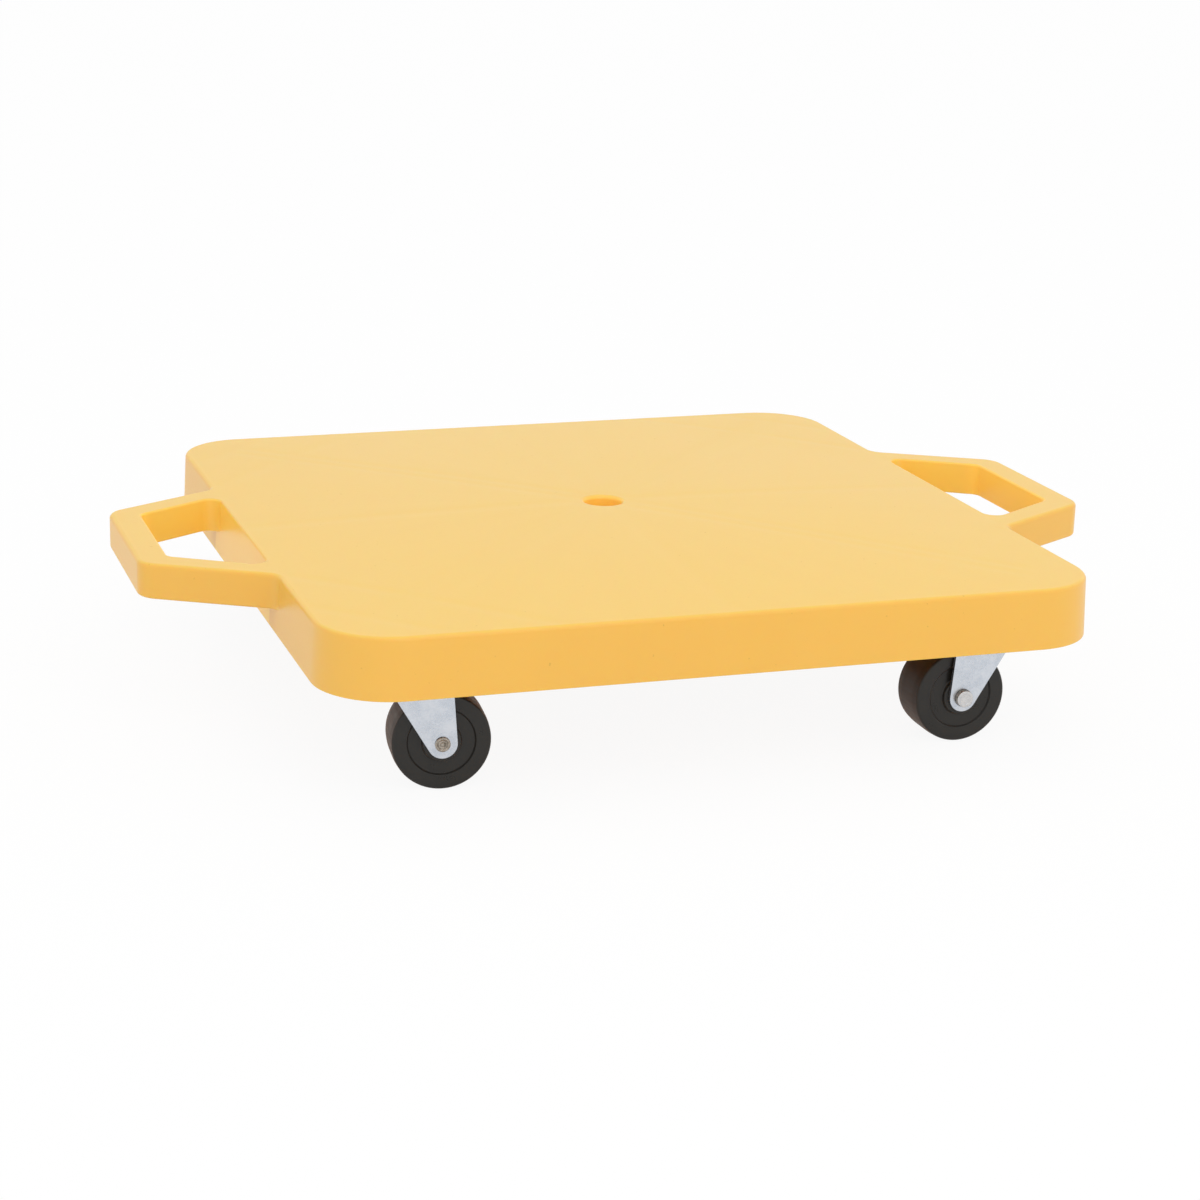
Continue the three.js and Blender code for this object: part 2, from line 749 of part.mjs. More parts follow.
// One caster, at its swivel axis: the fixed pieces, then the fork and wheel turned to its yaw.
function caster({ name, x, y, yaw }, shapes) {
  const whole = new THREE.Group();
  whole.position.set(x, y, 0);

  const fixed = new THREE.Group();
  fixed.rotation.z = plateTurn;
  fixed.add(meshOf(`${name}_plate`, shapes.plate, zincPlate));
  screwPlaces.forEach((place, i) => {
    const piece = meshOf(`${name}_screw_${i + 1}`, shapes.screw, brightSteel);
    piece.position.set(place.x, place.y, 0);
    fixed.add(piece);
  });
  whole.add(fixed);
  whole.add(meshOf(`${name}_king_pin`, shapes.kingPin, plainSteel));
  whole.add(meshOf(`${name}_retainer`, shapes.retainer, zincPlate));

  const swivel = new THREE.Group();
  swivel.rotation.z = yaw;
  swivel.add(meshOf(`${name}_fork`, shapes.fork, zincPlate));
  swivel.add(meshOf(`${name}_ball_race`, shapes.ballRace, brightSteel));
  const rolling = new THREE.Group();
  rolling.position.set(casterTrail, 0, wheelRadius);
  rolling.rotation.x = -Math.PI / 2;
  rolling.add(meshOf(`${name}_axle`, shapes.axle, plainSteel));
  rolling.add(meshOf(`${name}_bush`, shapes.bush, bushPlastic));
  rolling.add(meshOf(`${name}_wheel`, shapes.wheel, blackPlastic));
  swivel.add(rolling);
  whole.add(swivel);
  return whole;
}

const shapes = {
  plate: casterPlate(),
  screw: screw(),
  kingPin: kingPin(),
  retainer: retainer(),
  fork: fork(),
  ballRace: ballRace(),
  axle: axle(),
  bush: bush(),
  wheel: wheel(),
};

const scooterBoard = new THREE.Group();
scooterBoard.add(meshOf('deck', deck(), yellowPlastic));
casters.forEach((place) => scooterBoard.add(caster(place, shapes)));

export default scooterBoard;
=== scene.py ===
# A scooter board: one yellow moulded deck with a handle at each side, on four swivel casters.
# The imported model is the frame. Every piece stands in for a node of it, in the same place.

import math

import bmesh
import bpy
import numpy as np
from mathutils import Matrix, Vector
from mathutils.geometry import delaunay_2d_cdt


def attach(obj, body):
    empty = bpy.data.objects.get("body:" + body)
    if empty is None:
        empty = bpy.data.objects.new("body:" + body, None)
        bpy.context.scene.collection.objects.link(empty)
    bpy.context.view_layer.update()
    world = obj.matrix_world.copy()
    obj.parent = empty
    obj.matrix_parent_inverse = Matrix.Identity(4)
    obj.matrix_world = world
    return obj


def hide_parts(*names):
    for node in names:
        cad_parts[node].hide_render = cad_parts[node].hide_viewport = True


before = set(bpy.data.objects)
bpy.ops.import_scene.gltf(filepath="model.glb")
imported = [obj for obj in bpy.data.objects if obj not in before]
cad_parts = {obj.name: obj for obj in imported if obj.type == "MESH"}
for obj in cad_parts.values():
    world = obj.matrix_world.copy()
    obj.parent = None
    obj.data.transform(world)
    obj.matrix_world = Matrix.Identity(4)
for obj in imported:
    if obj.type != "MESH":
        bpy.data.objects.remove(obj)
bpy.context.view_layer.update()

# ---- Deck and handles
# One injection moulding in warm yellow polypropylene: a crowned skin with a skirt all round, ribs
# and screw bosses below, and a handle at each side that runs on from the rim without a seam.

MM = 0.001
QUARTER = math.pi / 2

deck_half = 203.2
deck_corner = 37.0
rim_height = 90.0
skirt_depth = 31.5
skirt_bottom = rim_height - skirt_depth
skirt_flare = 1.25
skirt_tip_wall = 3.2
skirt_wall = 4.0
skirt_edge = 0.5
skin = 3.8
edge_radius = 2.3
inside_fillet = 2.5
crown_rise = 4.2
land_half = 24.0
seat_height = 62.3
caster_place = 159.0
screw_half_pitch = 19.5

hole_radius = 10.4
hole_rounding = 2.3
hub_wall = 4.6
hub_sink = 0.3
hub_sink_width = 5.5
rib_sink = 0.16
rib_sink_width = 3.6
twin_rib_half_pitch = 5.0
skin_spacing = 4.0
hollow_spacing = 14.0
rounding_margin = 1.0
part_way = 0.3
hidden_overlap = 2.0
tiny = 0.0001
around = ((-1, -1), (1, -1), (1, 1), (-1, 1))


def quarter(steps):
    """The angles of a quarter turn in so many steps."""
    return np.linspace(0, QUARTER, steps + 1)


def outline(corners, inset=0.0, along=1):
    """Corners (x, y, radius, steps), against the clock, rounded and moved inwards by inset."""
    xy = np.array([corner[:2] for corner in corners], float)
    ways = np.roll(xy, -1, 0) - xy
    ways /= np.linalg.norm(ways, axis=1)[:, None]
    inward = np.column_stack((-ways[:, 1], ways[:, 0]))
    starts = xy + inset * inward
    arcs = []
    for i, (_, _, radius, steps) in enumerate(corners):
        before, after = ways[i - 1], ways[i]
        cross = before[0] * after[1] - before[1] * after[0]
        turn = math.atan2(cross, before @ after)
        side = math.copysign(1, turn)
        radius = max(radius - side * inset, tiny) if steps else 0.0
        gap = starts[i] - starts[i - 1]
        reach = (gap[0] * after[1] - gap[1] * after[0]) / cross
        first = starts[i - 1] + before * (reach - radius * math.tan(abs(turn) / 2))
        centre = first + inward[i - 1] * side * radius
        angles = np.linspace(0, turn, steps + 1) if steps else np.zeros(1)
        x, y = first - centre
        arcs.append(np.array([
            centre + (x * math.cos(a) - y * math.sin(a), x * math.sin(a) + y * math.cos(a))
            for a in angles
        ]))
    points = []
    for arc, following in zip(arcs, arcs[1:] + arcs[:1]):
        points.extend(arc)
        points.extend(arc[-1] + (following[0] - arc[-1]) * k / along for k in range(1, along))
    return np.array(points)


def ring(points, height):
    return np.column_stack((points, np.full(len(points), height)))


def in_scene(name, data):
    piece = bpy.data.objects.new(name, data)
    bpy.context.scene.collection.objects.link(piece)
    return piece


def shape(name, points, faces):
    """A new object from points in millimetres."""
    mesh = bpy.data.meshes.new(name)
    mesh.from_pydata((np.asarray(points) * MM).tolist(), [], faces)
    return in_scene(name, mesh)


def filled(edge, spacing, height):
    """Small triangles inside an edge: new points, and faces that count them after the edge's."""
    nearest_share, inside_only = 0.55, 1
    low, high = edge[:, :2].min(0), edge[:, :2].max(0)
    counts = np.maximum(np.round((high - low) / spacing).astype(int), 1)
    columns = [np.linspace(low[i], high[i], counts[i] + 1)[1:-1] for i in (0, 1)]
    grid = np.stack(np.meshgrid(*columns), -1).reshape(-1, 2)
    start, end = edge[:, :2], np.roll(edge[:, :2], -1, 0)
    way = end - start
    offset = grid[:, None] - start
    share = np.clip((offset * way).sum(2) / (way * way).sum(1), 0, 1)
    away = np.linalg.norm(offset - share[..., None] * way, axis=2).min(1)
    crossing = (start[:, 1] > grid[:, 1:2]) != (end[:, 1] > grid[:, 1:2])
    rise = np.where(way[:, 1] == 0, 1, way[:, 1])
    at = start[:, 0] + (grid[:, 1:2] - start[:, 1]) / rise * way[:, 0]
    inside = (crossing & (grid[:, :1] < at)).sum(1) % 2 == 1
    grid = grid[inside & (away > spacing * nearest_share)]
    flat = [Vector(point) for point in np.vstack((edge[:, :2], grid))]
    border = list(range(len(edge)))
    _, _, found, origins, _, _ = delaunay_2d_cdt(flat, [], [border], inside_only, tiny)
    source = [ids[0] for ids in origins]
    faces = [tuple(source[i] for i in face) for face in found]
    return np.column_stack((grid, [height(x, y) for x, y in grid])), faces


def lofted(name, rings, spacing=None, height=None):
    """A closed solid through rings of equally many points, lowest first."""
    count = len(rings[0])
    faces = []
    for level in range(len(rings) - 1):
        for i in range(count):
            a, b = level * count + i, level * count + (i + 1) % count
            faces.append((a, b, b + count, a + count))
    points = np.vstack(rings)
    top = count * (len(rings) - 1)
    faces.append(tuple(reversed(range(count))))
    if spacing:
        extra, caps = filled(rings[-1], spacing, height)
        faces.extend(tuple(top + i for i in face) for face in caps)
        points = np.vstack((points, extra))
    else:
        faces.append(tuple(range(top, top + count)))
    return shape(name, points, faces)


def turned(name, profile, sides):
    """A round solid about Z: a closed profile of (radius, height) points, against the clock."""
    angles = 2 * math.pi * np.arange(sides) / sides
    points = [(r * math.cos(a), r * math.sin(a), z) for a in angles for r, z in profile]
    count = len(profile)
    faces = []
    for k in range(sides):
        here, there = k * count, (k + 1) % sides * count
        for i in range(count):
            j = (i + 1) % count
            if profile[i][0] > 0 or profile[j][0] > 0:
                faces.append((here + i, there + i, there + j, here + j))
    piece = shape(name, points, faces)
    work = bmesh.new()
    work.from_mesh(piece.data)
    bmesh.ops.remove_doubles(work, verts=work.verts, dist=tiny * MM)
    work.to_mesh(piece.data)
    work.free()
    return piece


def settled(piece):
    """Applies a piece's modifiers to its mesh."""
    graph = bpy.context.evaluated_depsgraph_get()
    mesh = bpy.data.meshes.new_from_object(piece.evaluated_get(graph))
    piece.modifiers.clear()
    piece.data = mesh
    return piece


def worked(piece, way, tools):
    """Joins tools to a piece, cuts them out of it, or keeps what they share, and drops them."""
    for tool in tools:
        step = piece.modifiers.new(way, "BOOLEAN")
        step.operation = way
        step.solver = "MANIFOLD"
        step.object = tool
    settled(piece)
    for tool in tools:
        bpy.data.objects.remove(tool)
    return piece


def softened(piece, sharp_angle):
    """Smooth shading, with an edge left where two faces meet at more than the angle."""
    piece.data.shade_smooth()
    piece.data.set_sharp_from_angle(angle=math.radians(sharp_angle))
    piece.modifiers.new("even shading", "WEIGHTED_NORMAL").keep_sharp = True
    return piece


def corner_square(half, radius, steps):
    return [(x * half, y * half, radius, steps) for x, y in around]


deck_corners = corner_square(deck_half, deck_corner, steps=14)


def crown(x, y):
    """Height of the top: level at the rim, highest on the land in the middle."""
    half = deck_half - edge_radius
    u, v, land = x / half, y / half, land_half / half
    rise = min((1 - u * u) * (1 - v * v), (1 - land * land) ** 2)
    return rim_height + crown_rise * max(rise, 0.0)


def sink(x, y):
    """How far the skin has shrunk in over the ribs and the hub, as thick plastic does."""
    from_middle = math.hypot(x, y)
    to_edge = (deck_half - edge_radius - max(abs(x), abs(y))) / edge_radius
    diagonal = abs(abs(x) - abs(y)) / math.sqrt(2)
    outward = (abs(x) + abs(y)) / math.sqrt(2)
    caster_reach = caster_place * math.sqrt(2)
    lines = [abs(x), abs(y)]
    if outward < caster_reach + screw_half_pitch:
        lines.append(abs(diagonal - twin_rib_half_pitch))
    lines += [abs(outward - caster_reach - side * screw_half_pitch) for side in (-1, 1)]
    marks = max(math.exp(-((line / rib_sink_width) ** 2)) for line in lines)
    hub = max(from_middle - hole_radius - hole_rounding, 0.0) / hub_sink_width
    depth = max(rib_sink * marks, hub_sink * math.exp(-hub * hub))
    return depth * min(max(to_edge, 0.0), 1.0)


def edge_rings(corners, radius, top, steps, along=1):
    """Rings that round a wall's top edge; a negative radius flares outwards."""
    rings = []
    for angle in quarter(steps):
        inset = radius * (1 - math.cos(angle))
        height = top - abs(radius) * (1 - math.sin(angle))
        rings.append(ring(outline(corners, inset, along), height))
    return rings


def lean(height):
    """How far the skirt stands out beyond the rim: it leans outwards as it goes down."""
    straight = rim_height - edge_radius - skirt_bottom
    return skirt_flare * max(1 - (height - skirt_bottom) / straight, 0)


def deck_block():
    """The whole moulding without its handles, before it is hollowed."""
    along = 40
    rings = []
    under_rounding = skirt_depth - edge_radius - rounding_margin
    for up in (0.0, skirt_edge * part_way, skirt_edge, skirt_depth / 2, under_rounding):
        round_off = skirt_edge - math.sqrt(max(skirt_edge**2 - max(skirt_edge - up, 0) ** 2, 0))
        height = skirt_bottom + up
        rings.append(ring(outline(deck_corners, round_off - lean(height), along), height))
    rings += edge_rings(deck_corners, edge_radius, rim_height, 6, along)
    return lofted("deck_moulding", rings, skin_spacing, lambda x, y: crown(x, y) - sink(x, y))


def deck_hollow():
    """The room under the skin, before ribs, hub and bosses are taken from it."""
    along = 12
    ceiling = rim_height - skin
    tip = skirt_tip_wall - skirt_flare
    rings = [
        ring(outline(deck_corners, tip - skirt_edge, along), skirt_bottom - hidden_overlap),
        ring(outline(deck_corners, tip - skirt_edge, along), skirt_bottom),
        ring(outline(deck_corners, tip, along), skirt_bottom + skirt_edge),
    ]
    for angle in quarter(4):
        inset = skirt_wall + inside_fillet * (1 - math.cos(angle))
        up = ceiling - inside_fillet * (1 - math.sin(angle))
        rings.append(ring(outline(deck_corners, inset, along), up))
    return lofted("hollow", rings, hollow_spacing, lambda x, y: crown(x, y) - skin)


rib_tip = 2.4
rib_root = 3.4
boss_radius = 5.2
boss_root_radius = 5.6
pilot_radius = 2.3
pilot_depth = 14.0
ejector_radius = 5.0
ejector_depth = 0.3
ejector_places = [(58, 14), (112, 22), (166, 30), (146, 92), (40, 160)]
inside_top = rim_height + crown_rise


def rib(start, end):
    """A rib hangs from the skin between two points, thinner at its lower edge."""
    start, end = np.array(start, float), np.array(end, float)
    way = (end - start) / np.linalg.norm(end - start)
    side = np.array((way[1], -way[0]))
    points = []
    for height, width in ((seat_height, rib_tip), (inside_top, rib_root)):
        for place, sign in ((start, 1), (end, 1), (end, -1), (start, -1)):
            points.append((*(place + side * sign * width / 2), height))
    faces = [(3, 2, 1, 0), (4, 5, 6, 7), (0, 1, 5, 4), (1, 2, 6, 5), (2, 3, 7, 6), (3, 0, 4, 7)]
    return shape("rib", points, faces)


def round_bar(name, radius, low, high, sides, top_radius=None, place=(0, 0)):
    """A plain round tool, tapered if it has a radius for its top."""
    top_radius = top_radius or radius
    piece = turned(name, [(0, low), (radius, low), (top_radius, high), (0, high)], sides)
    piece.data.transform(Matrix.Translation((place[0] * MM, place[1] * MM, 0)))
    return piece


def screw_places():
    step = screw_half_pitch * math.sqrt(2)
    for x in (-caster_place, caster_place):
        for y in (-caster_place, caster_place):
            yield from ((x - step, y), (x + step, y), (x, y - step), (x, y + step))


def ribs():
    """Single ribs along the axes, twins along the diagonals, and two across each corner."""
    for x, y in ((1, 0), (0, 1), (-1, 0), (0, -1)):
        yield rib((0, 0), (x * deck_half, y * deck_half))
    diagonal = math.sqrt(0.5)
    for x in (-1, 1):
        for y in (-1, 1):
            outward, across = np.array((x, y)) * diagonal, np.array((-y, x)) * diagonal
            seat = np.array((x, y)) * caster_place
            for side in (-1, 1):
                shift = across * side * twin_rib_half_pitch
                yield rib(shift, seat + outward * screw_half_pitch + shift)
                middle = seat + outward * side * screw_half_pitch
                reach = across * (deck_half - abs(middle[0])) / diagonal
                yield rib(middle - reach, middle + reach)


handle_reach = 64.2
handle_root = 175.1
handle_end = 104.0
handle_depth = 18.7
handle_corner = 14.0
handle_notch = 10.0
handle_buried = 12.0
handle_wall = 3.5
handle_lower_edge = 1.2
slot_reach = 47.8
slot_root = 141.1
slot_end = 83.6
slot_corner = 6.5
slot_edge = 1.2
handle_bottom = rim_height - handle_depth


def both_sides(near_side):
    """Corners on one side of the X axis, and the same again on the other side."""
    return near_side + [(x, -y, radius, steps) for x, y, radius, steps in reversed(near_side)]


def handle_corners(height):
    """The handle in plan. Its arms run into the skirt where that stands at this height."""
    root, far = deck_half + lean(height), deck_half + handle_reach
    buried, clear = deck_half - handle_buried, handle_root / 2 + handle_notch
    return both_sides([
        (buried, -clear, 0, 0),
        (root, -clear, 0, 0),
        (root, -handle_root / 2, handle_notch, 8),
        (far, -handle_end / 2, handle_corner, 12),
    ])


def slot_corners(height):
    """The finger slot in plan, narrower at its far side."""
    root, far = deck_half + lean(height), deck_half + slot_reach
    near_corner = (root, -slot_root / 2, slot_corner, 8)
    return both_sides([near_corner, (far, -slot_end / 2, slot_corner, 8)])


def handle(name):
    """The right handle: a rounded bar with a finger slot, hollow from below."""
    along = 6

    def plan(corners, inset, height):
        return ring(outline(corners(height), inset, along), height)

    rings = []
    for angle in quarter(3):
        inset = handle_lower_edge * (1 - math.sin(angle))
        up = handle_lower_edge * (1 - math.cos(angle))
        rings.append(plan(handle_corners, inset, handle_bottom + up))
    rings.append(plan(handle_corners, 0, rim_height - edge_radius - rounding_margin))
    rings += edge_rings(handle_corners(rim_height), edge_radius, rim_height, 6, along)
    bar = lofted(name, rings, skin_spacing, lambda x, y: rim_height)
    low, high = handle_bottom - hidden_overlap, rim_height - skin
    part = handle_lower_edge * part_way
    slot_rings = [
        plan(slot_corners, -handle_lower_edge, low),
        plan(slot_corners, -handle_lower_edge, handle_bottom),
        plan(slot_corners, -part, handle_bottom + part),
        plan(slot_corners, 0, handle_bottom + handle_lower_edge),
        *edge_rings(slot_corners(rim_height), -slot_edge, rim_height, 6, along),
        plan(slot_corners, -slot_edge, rim_height + hidden_overlap),
    ]
    inside = outline(handle_corners(rim_height), handle_wall)
    channel = lofted("channel", [ring(inside, low), ring(inside, high)])
    walls = []
    for corners in (slot_corners(rim_height), deck_corners):
        wall = outline(corners, -handle_wall)
        ends = low - hidden_overlap, high + hidden_overlap
        walls.append(lofted("wall", [ring(wall, end) for end in ends]))
    worked(channel, "DIFFERENCE", walls)
    return worked(bar, "DIFFERENCE", [lofted("slot", slot_rings), channel])


def centre_hole():
    """The round hole in the middle, with a soft lip."""
    top = crown(0, 0) - hub_sink
    low = skirt_bottom - hidden_overlap
    profile = [(0, low), (hole_radius, low)]
    for angle in quarter(8):
        radius = hole_radius + hole_rounding * (1 - math.cos(angle))
        profile.append((radius, top - hole_rounding * (1 - math.sin(angle))))
    profile += [(hole_radius + hole_rounding, top + hidden_overlap), (0, top + hidden_overlap)]
    return turned("centre_hole", profile, sides=72)


def build_deck():
    """The block less its hollow, in which ribs, hub and bosses are left standing."""
    hollow = deck_hollow()
    hub = round_bar("hub", hole_radius + hub_wall, seat_height, inside_top, sides=64)
    bosses = [round_bar("boss", boss_radius, seat_height, inside_top, 24, boss_root_radius, place)
              for place in screw_places()]
    worked(hollow, "DIFFERENCE", [*ribs(), hub, *bosses])
    marks = []
    for x, y in ejector_places:
        top = crown(x, y) - skin + ejector_depth
        low = top - hidden_overlap
        for sign_x in (-1, 1):
            for sign_y in (-1, 1):
                marks.append(round_bar("ejector", ejector_radius, low, top, sides=24,
                                       place=(x * sign_x, y * sign_y)))
    worked(hollow, "UNION", marks)
    deck = deck_block()
    right, left = handle("right"), handle("left")
    left.data.transform(Matrix.Rotation(math.pi, 4, "Z"))
    worked(deck, "UNION", [right, left])
    low, high = seat_height - hidden_overlap, seat_height + pilot_depth
    pilots = [round_bar("pilot", pilot_radius, low, high, 16, place=place)
              for place in screw_places()]
    worked(deck, "DIFFERENCE", [hollow, centre_hole(), *pilots])
    return softened(deck, sharp_angle=32)


class Wire:
    """The output of a node, so that sums on it are written as sums."""

    def __init__(self, nodes, socket):
        self.nodes = nodes
        self.socket = socket

    def sum(self, operation, *terms):
        return self.nodes.node("ShaderNodeMath", {"operation": operation}, dict(enumerate(terms)))

    def __add__(self, other):
        return self.sum("ADD", self, other)

    def __sub__(self, other):
        return self.sum("SUBTRACT", self, other)

    def __rsub__(self, other):
        return self.sum("SUBTRACT", other, self)

    def __mul__(self, other):
        return self.sum("MULTIPLY", self, other)

    def __pow__(self, other):
        return self.sum("POWER", self, other)

    def __abs__(self):
        return self.sum("ABSOLUTE", self)

    __radd__ = __add__
    __rmul__ = __mul__

    def swing(self, width):
        """Noise moved to lie about zero, over the width."""
        return (self - 0.5) * width


class Nodes:
    """The node tree of one material, or of the world."""

    def __init__(self, tree):
        self.tree = tree

    def node(self, kind, settings=None, inputs=None, output=0):
        """Adds any node: its settings first, then the value or link of each socket."""
        made = self.tree.nodes.new(kind)
        for name, value in (settings or {}).items():
            setattr(made, name, value)
        for name, value in (inputs or {}).items():
            self.feed(made.inputs[name], value)
        return Wire(self, made.outputs[output]) if made.outputs else None

    def feed(self, socket, value):
        if isinstance(value, Wire):
            self.tree.links.new(value.socket, socket)
        else:
            socket.default_value = value

    def noise(self, place, scale, detail=2.0, roughness=0.5):
        return self.node("ShaderNodeTexNoise", None, {
            "Vector": place, "Scale": scale, "Detail": detail, "Roughness": roughness})

    def drawn_noise(self, across, along, detail=2.0):
        """Noise over any two measures, for marks that run in rings or in fans."""
        place = self.node("ShaderNodeCombineXYZ", None, {0: across, 1: along})
        return self.noise(place, scale=1.0, detail=detail)

    def step(self, value, low, high):
        """0 below low, 1 above high, and smooth between."""
        return self.node("ShaderNodeMapRange", {"interpolation_type": "SMOOTHSTEP"},
                         {"Value": value, "From Min": low, "From Max": high})

    def blend(self, factor, first, second):
        """Between two colours, on the sockets that the node keeps for colours."""
        shades = {0: factor, 6: first, 7: second}
        return self.node("ShaderNodeMix", {"data_type": "RGBA"}, shades, output=2)


class Finish(Nodes):
    """A procedural material: fixed values on its shader, and nodes for what varies."""

    def __init__(self, name, fixed):
        self.material = bpy.data.materials.new(name)
        self.material.use_nodes = True
        super().__init__(self.material.node_tree)
        self.shader = self.tree.nodes["Principled BSDF"]
        self.give(fixed)
        self.place = self.node("ShaderNodeTexCoord", output="Object")

    def give(self, values):
        for name, value in values.items():
            self.feed(self.shader.inputs[name], value)

    def surface(self, colour, gloss, relief, distance):
        """What varies over the piece: colour, gloss and a relief, its depth in metres."""
        bump = self.node("ShaderNodeBump", None, {
            "Height": relief, "Distance": distance, "Strength": 1.0})
        self.give({"Base Color": colour, "Roughness": gloss, "Normal": bump})
        return self.material

    def stretched(self, x, y, z):
        """The place in the piece, scaled along each axis."""
        scaled = {0: self.place, 1: (x, y, z)}
        return self.node("ShaderNodeVectorMath", {"operation": "MULTIPLY"}, scaled)

    def split(self, vector):
        parts = self.node("ShaderNodeSeparateXYZ", None, {0: vector}).socket.node
        return [Wire(self, socket) for socket in parts.outputs]

    def apart(self):
        """The place as three numbers and the distance from the piece's own Z axis."""
        x, y, z = self.split(self.place)
        return x, y, z, (x * x + y * y) ** 0.5


# Where the yellow finish changes, in metres from the deck's middle.
slot_begins = (0.2028, 0.2032)
slot_ends = (0.070, 0.074)
slot_middle = 0.225
bar_outside_slot = (0.243, 0.2505)
hole_wall = (0.0110, 0.0122)

# How squarely a wall faces into its slot, and how much painted glow stands for daylight coming
# through.
facing_the_slot = (0.002, 0.012)
side_weight = 4.4
daylight_in_slot = 0.14
daylight_on_bar = 0.7
daylight_in_hole = 0.38
speck_depth = 0.35


def yellow_plastic():
    """Semi-gloss polypropylene with painted light: paler on level faces, brighter in the slots and
    hole.

    The faint orange glow is painted light: daylight through the thin walls, mostly through the
    outer bar.
    """
    finish = Finish("yellow_polypropylene", {
        "IOR": 1.5, "Specular IOR Level": 0.36, "Emission Strength": 1.0,
        "Subsurface Weight": 0.3, "Subsurface Radius": (1.0, 0.40, 0.08), "Subsurface Scale": 0.004,
    })
    x, y, _, radius = finish.apart()
    facing = finish.node("ShaderNodeTexCoord", output="Normal")
    facing_x, facing_y, facing_up = finish.split(facing)
    angle = finish.node("ShaderNodeMath", {"operation": "ARCTAN2"}, {0: y, 1: x})
    flow = finish.drawn_noise(angle * 9.0, radius * 6.0, detail=3.0)
    cloud = finish.noise(finish.place, scale=7.0, detail=3.0)
    grain = finish.noise(finish.place, scale=900.0, detail=1.0)
    speck = finish.step(finish.noise(finish.place, scale=420.0), 0.74, 0.79)
    # Painted light: a mask for the level faces, which get a paler yellow as if lit more strongly.
    level = finish.step(facing_up, 0.45, 0.97)
    inwards = facing_x * x * (slot_middle - abs(x)) * side_weight - facing_y * y
    in_slot = finish.step(abs(x), *slot_begins) * (1 - finish.step(abs(y), *slot_ends))
    in_hole = 1 - finish.step(radius, *hole_wall)
    # Painted light: walls facing into a slot, and the hole's wall, get a brighter orange and a
    # glow.
    painted_light_walls = finish.step(inwards, *facing_the_slot) * in_slot + in_hole
    on_bar = finish.step(abs(x), *bar_outside_slot) * daylight_on_bar
    daylight = painted_light_walls * (on_bar + daylight_in_slot) + in_hole * daylight_in_hole
    # Painted glow: an emission standing for daylight through the walls, though the plastic is no
    # lamp.
    glow = finish.blend(daylight, (0, 0, 0, 1), (0.17, 0.072, 0.010, 1))
    tone = flow.swing(0.5) + cloud.swing(0.6) + 0.5
    upright = finish.blend(tone, (0.850, 0.478, 0.083, 1), (0.880, 0.511, 0.096, 1))
    # Painted light on the level faces: the paler copy of the yellow.
    painted_top_light = finish.blend(tone, (0.880, 0.560, 0.101, 1), (0.910, 0.594, 0.117, 1))
    # Painted light inside the slots and the hole: a brighter, more orange copy of the yellow.
    painted_inner_light = finish.blend(tone, (0.975, 0.600, 0.104, 1), (0.990, 0.640, 0.120, 1))
    colour = finish.blend(level, finish.blend(painted_light_walls, upright, painted_inner_light), painted_top_light)
    colour = finish.blend(speck * speck_depth, colour, (0.50, 0.26, 0.04, 1))
    gloss = 0.32 + cloud.swing(0.10) + grain.swing(0.05) + speck * 0.1
    dimple = grain * 0.35 + finish.noise(finish.place, scale=260.0) * 0.65
    finish.give({"Emission Color": glow})
    return finish.surface(colour, gloss, dimple, distance=0.00004)


deck = build_deck()
deck.data.materials.clear()
deck.data.materials.append(yellow_plastic())
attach(deck, "board")
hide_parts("deck")

# ---- Caster plates
# A square of pressed steel under each corner of the deck, turned by an eighth of a turn, zinc
# plated. Its middle is dished down, with a ball track under the dish and room for the king pin.

caster_trail = 20.0

# Where each caster stands, and how far its fork is turned in degrees.
casters = {
    "front_left": (-caster_place, -caster_place, -6.7),
    "front_right": (caster_place, -caster_place, 180.0),
    "rear_left": (-caster_place, caster_place, 11.0),
    "rear_right": (caster_place, caster_place, 167.0),
}

wheel_radius = 25.0
fit_gap = 0.3
crown_bottom = 54.4
sheet = 2.0
crown_top = crown_bottom + sheet
race_gap = 2.2
race_face = crown_top + race_gap
plate_bottom = 60.0
plate_top = 62.0
plate_half = 25.0
plate_corner = 6.0
plate_edge = 0.3
plate_turn = 45
pitch_radius = 10.5
ball_radius = 1.5
race_shoulder = 2.9
dish_slope = 1.0
dish_border = 2.0
dish_weld = 0.2
cut_margin = 1.0
pin_radius = 3.9
screw_radius = 2.0


def placed(x, y, turn):
    """Where something stands: over a point of the floor, turned by degrees."""
    return Matrix.Translation((x * MM, y * MM, 0)) @ Matrix.Rotation(math.radians(turn), 4, "Z")


def fitted(name, mesh, place, body, node):
    """One more piece with a shared mesh, in place of a node."""
    piece = in_scene(name, mesh)
    piece.matrix_world = place
    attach(piece, body)
    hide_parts(node)


def finished(piece, finish, sharp_angle=35):
    """Shading and finish for a mesh that several pieces share. The first piece is dropped."""
    mesh = settled(softened(piece, sharp_angle)).data
    mesh.materials.clear()
    mesh.materials.append(finish)
    bpy.data.objects.remove(piece)
    return mesh


def ball_track():
    """A ring of space for the balls: it cuts one track in the plate and one in the fork."""
    height = crown_top + race_gap / 2
    reach = ball_radius + fit_gap
    angles = 2 * math.pi * np.arange(16) / 16
    section = [(pitch_radius + reach * math.cos(a), height + reach * math.sin(a)) for a in angles]
    return turned("ball_track", section, sides=48)


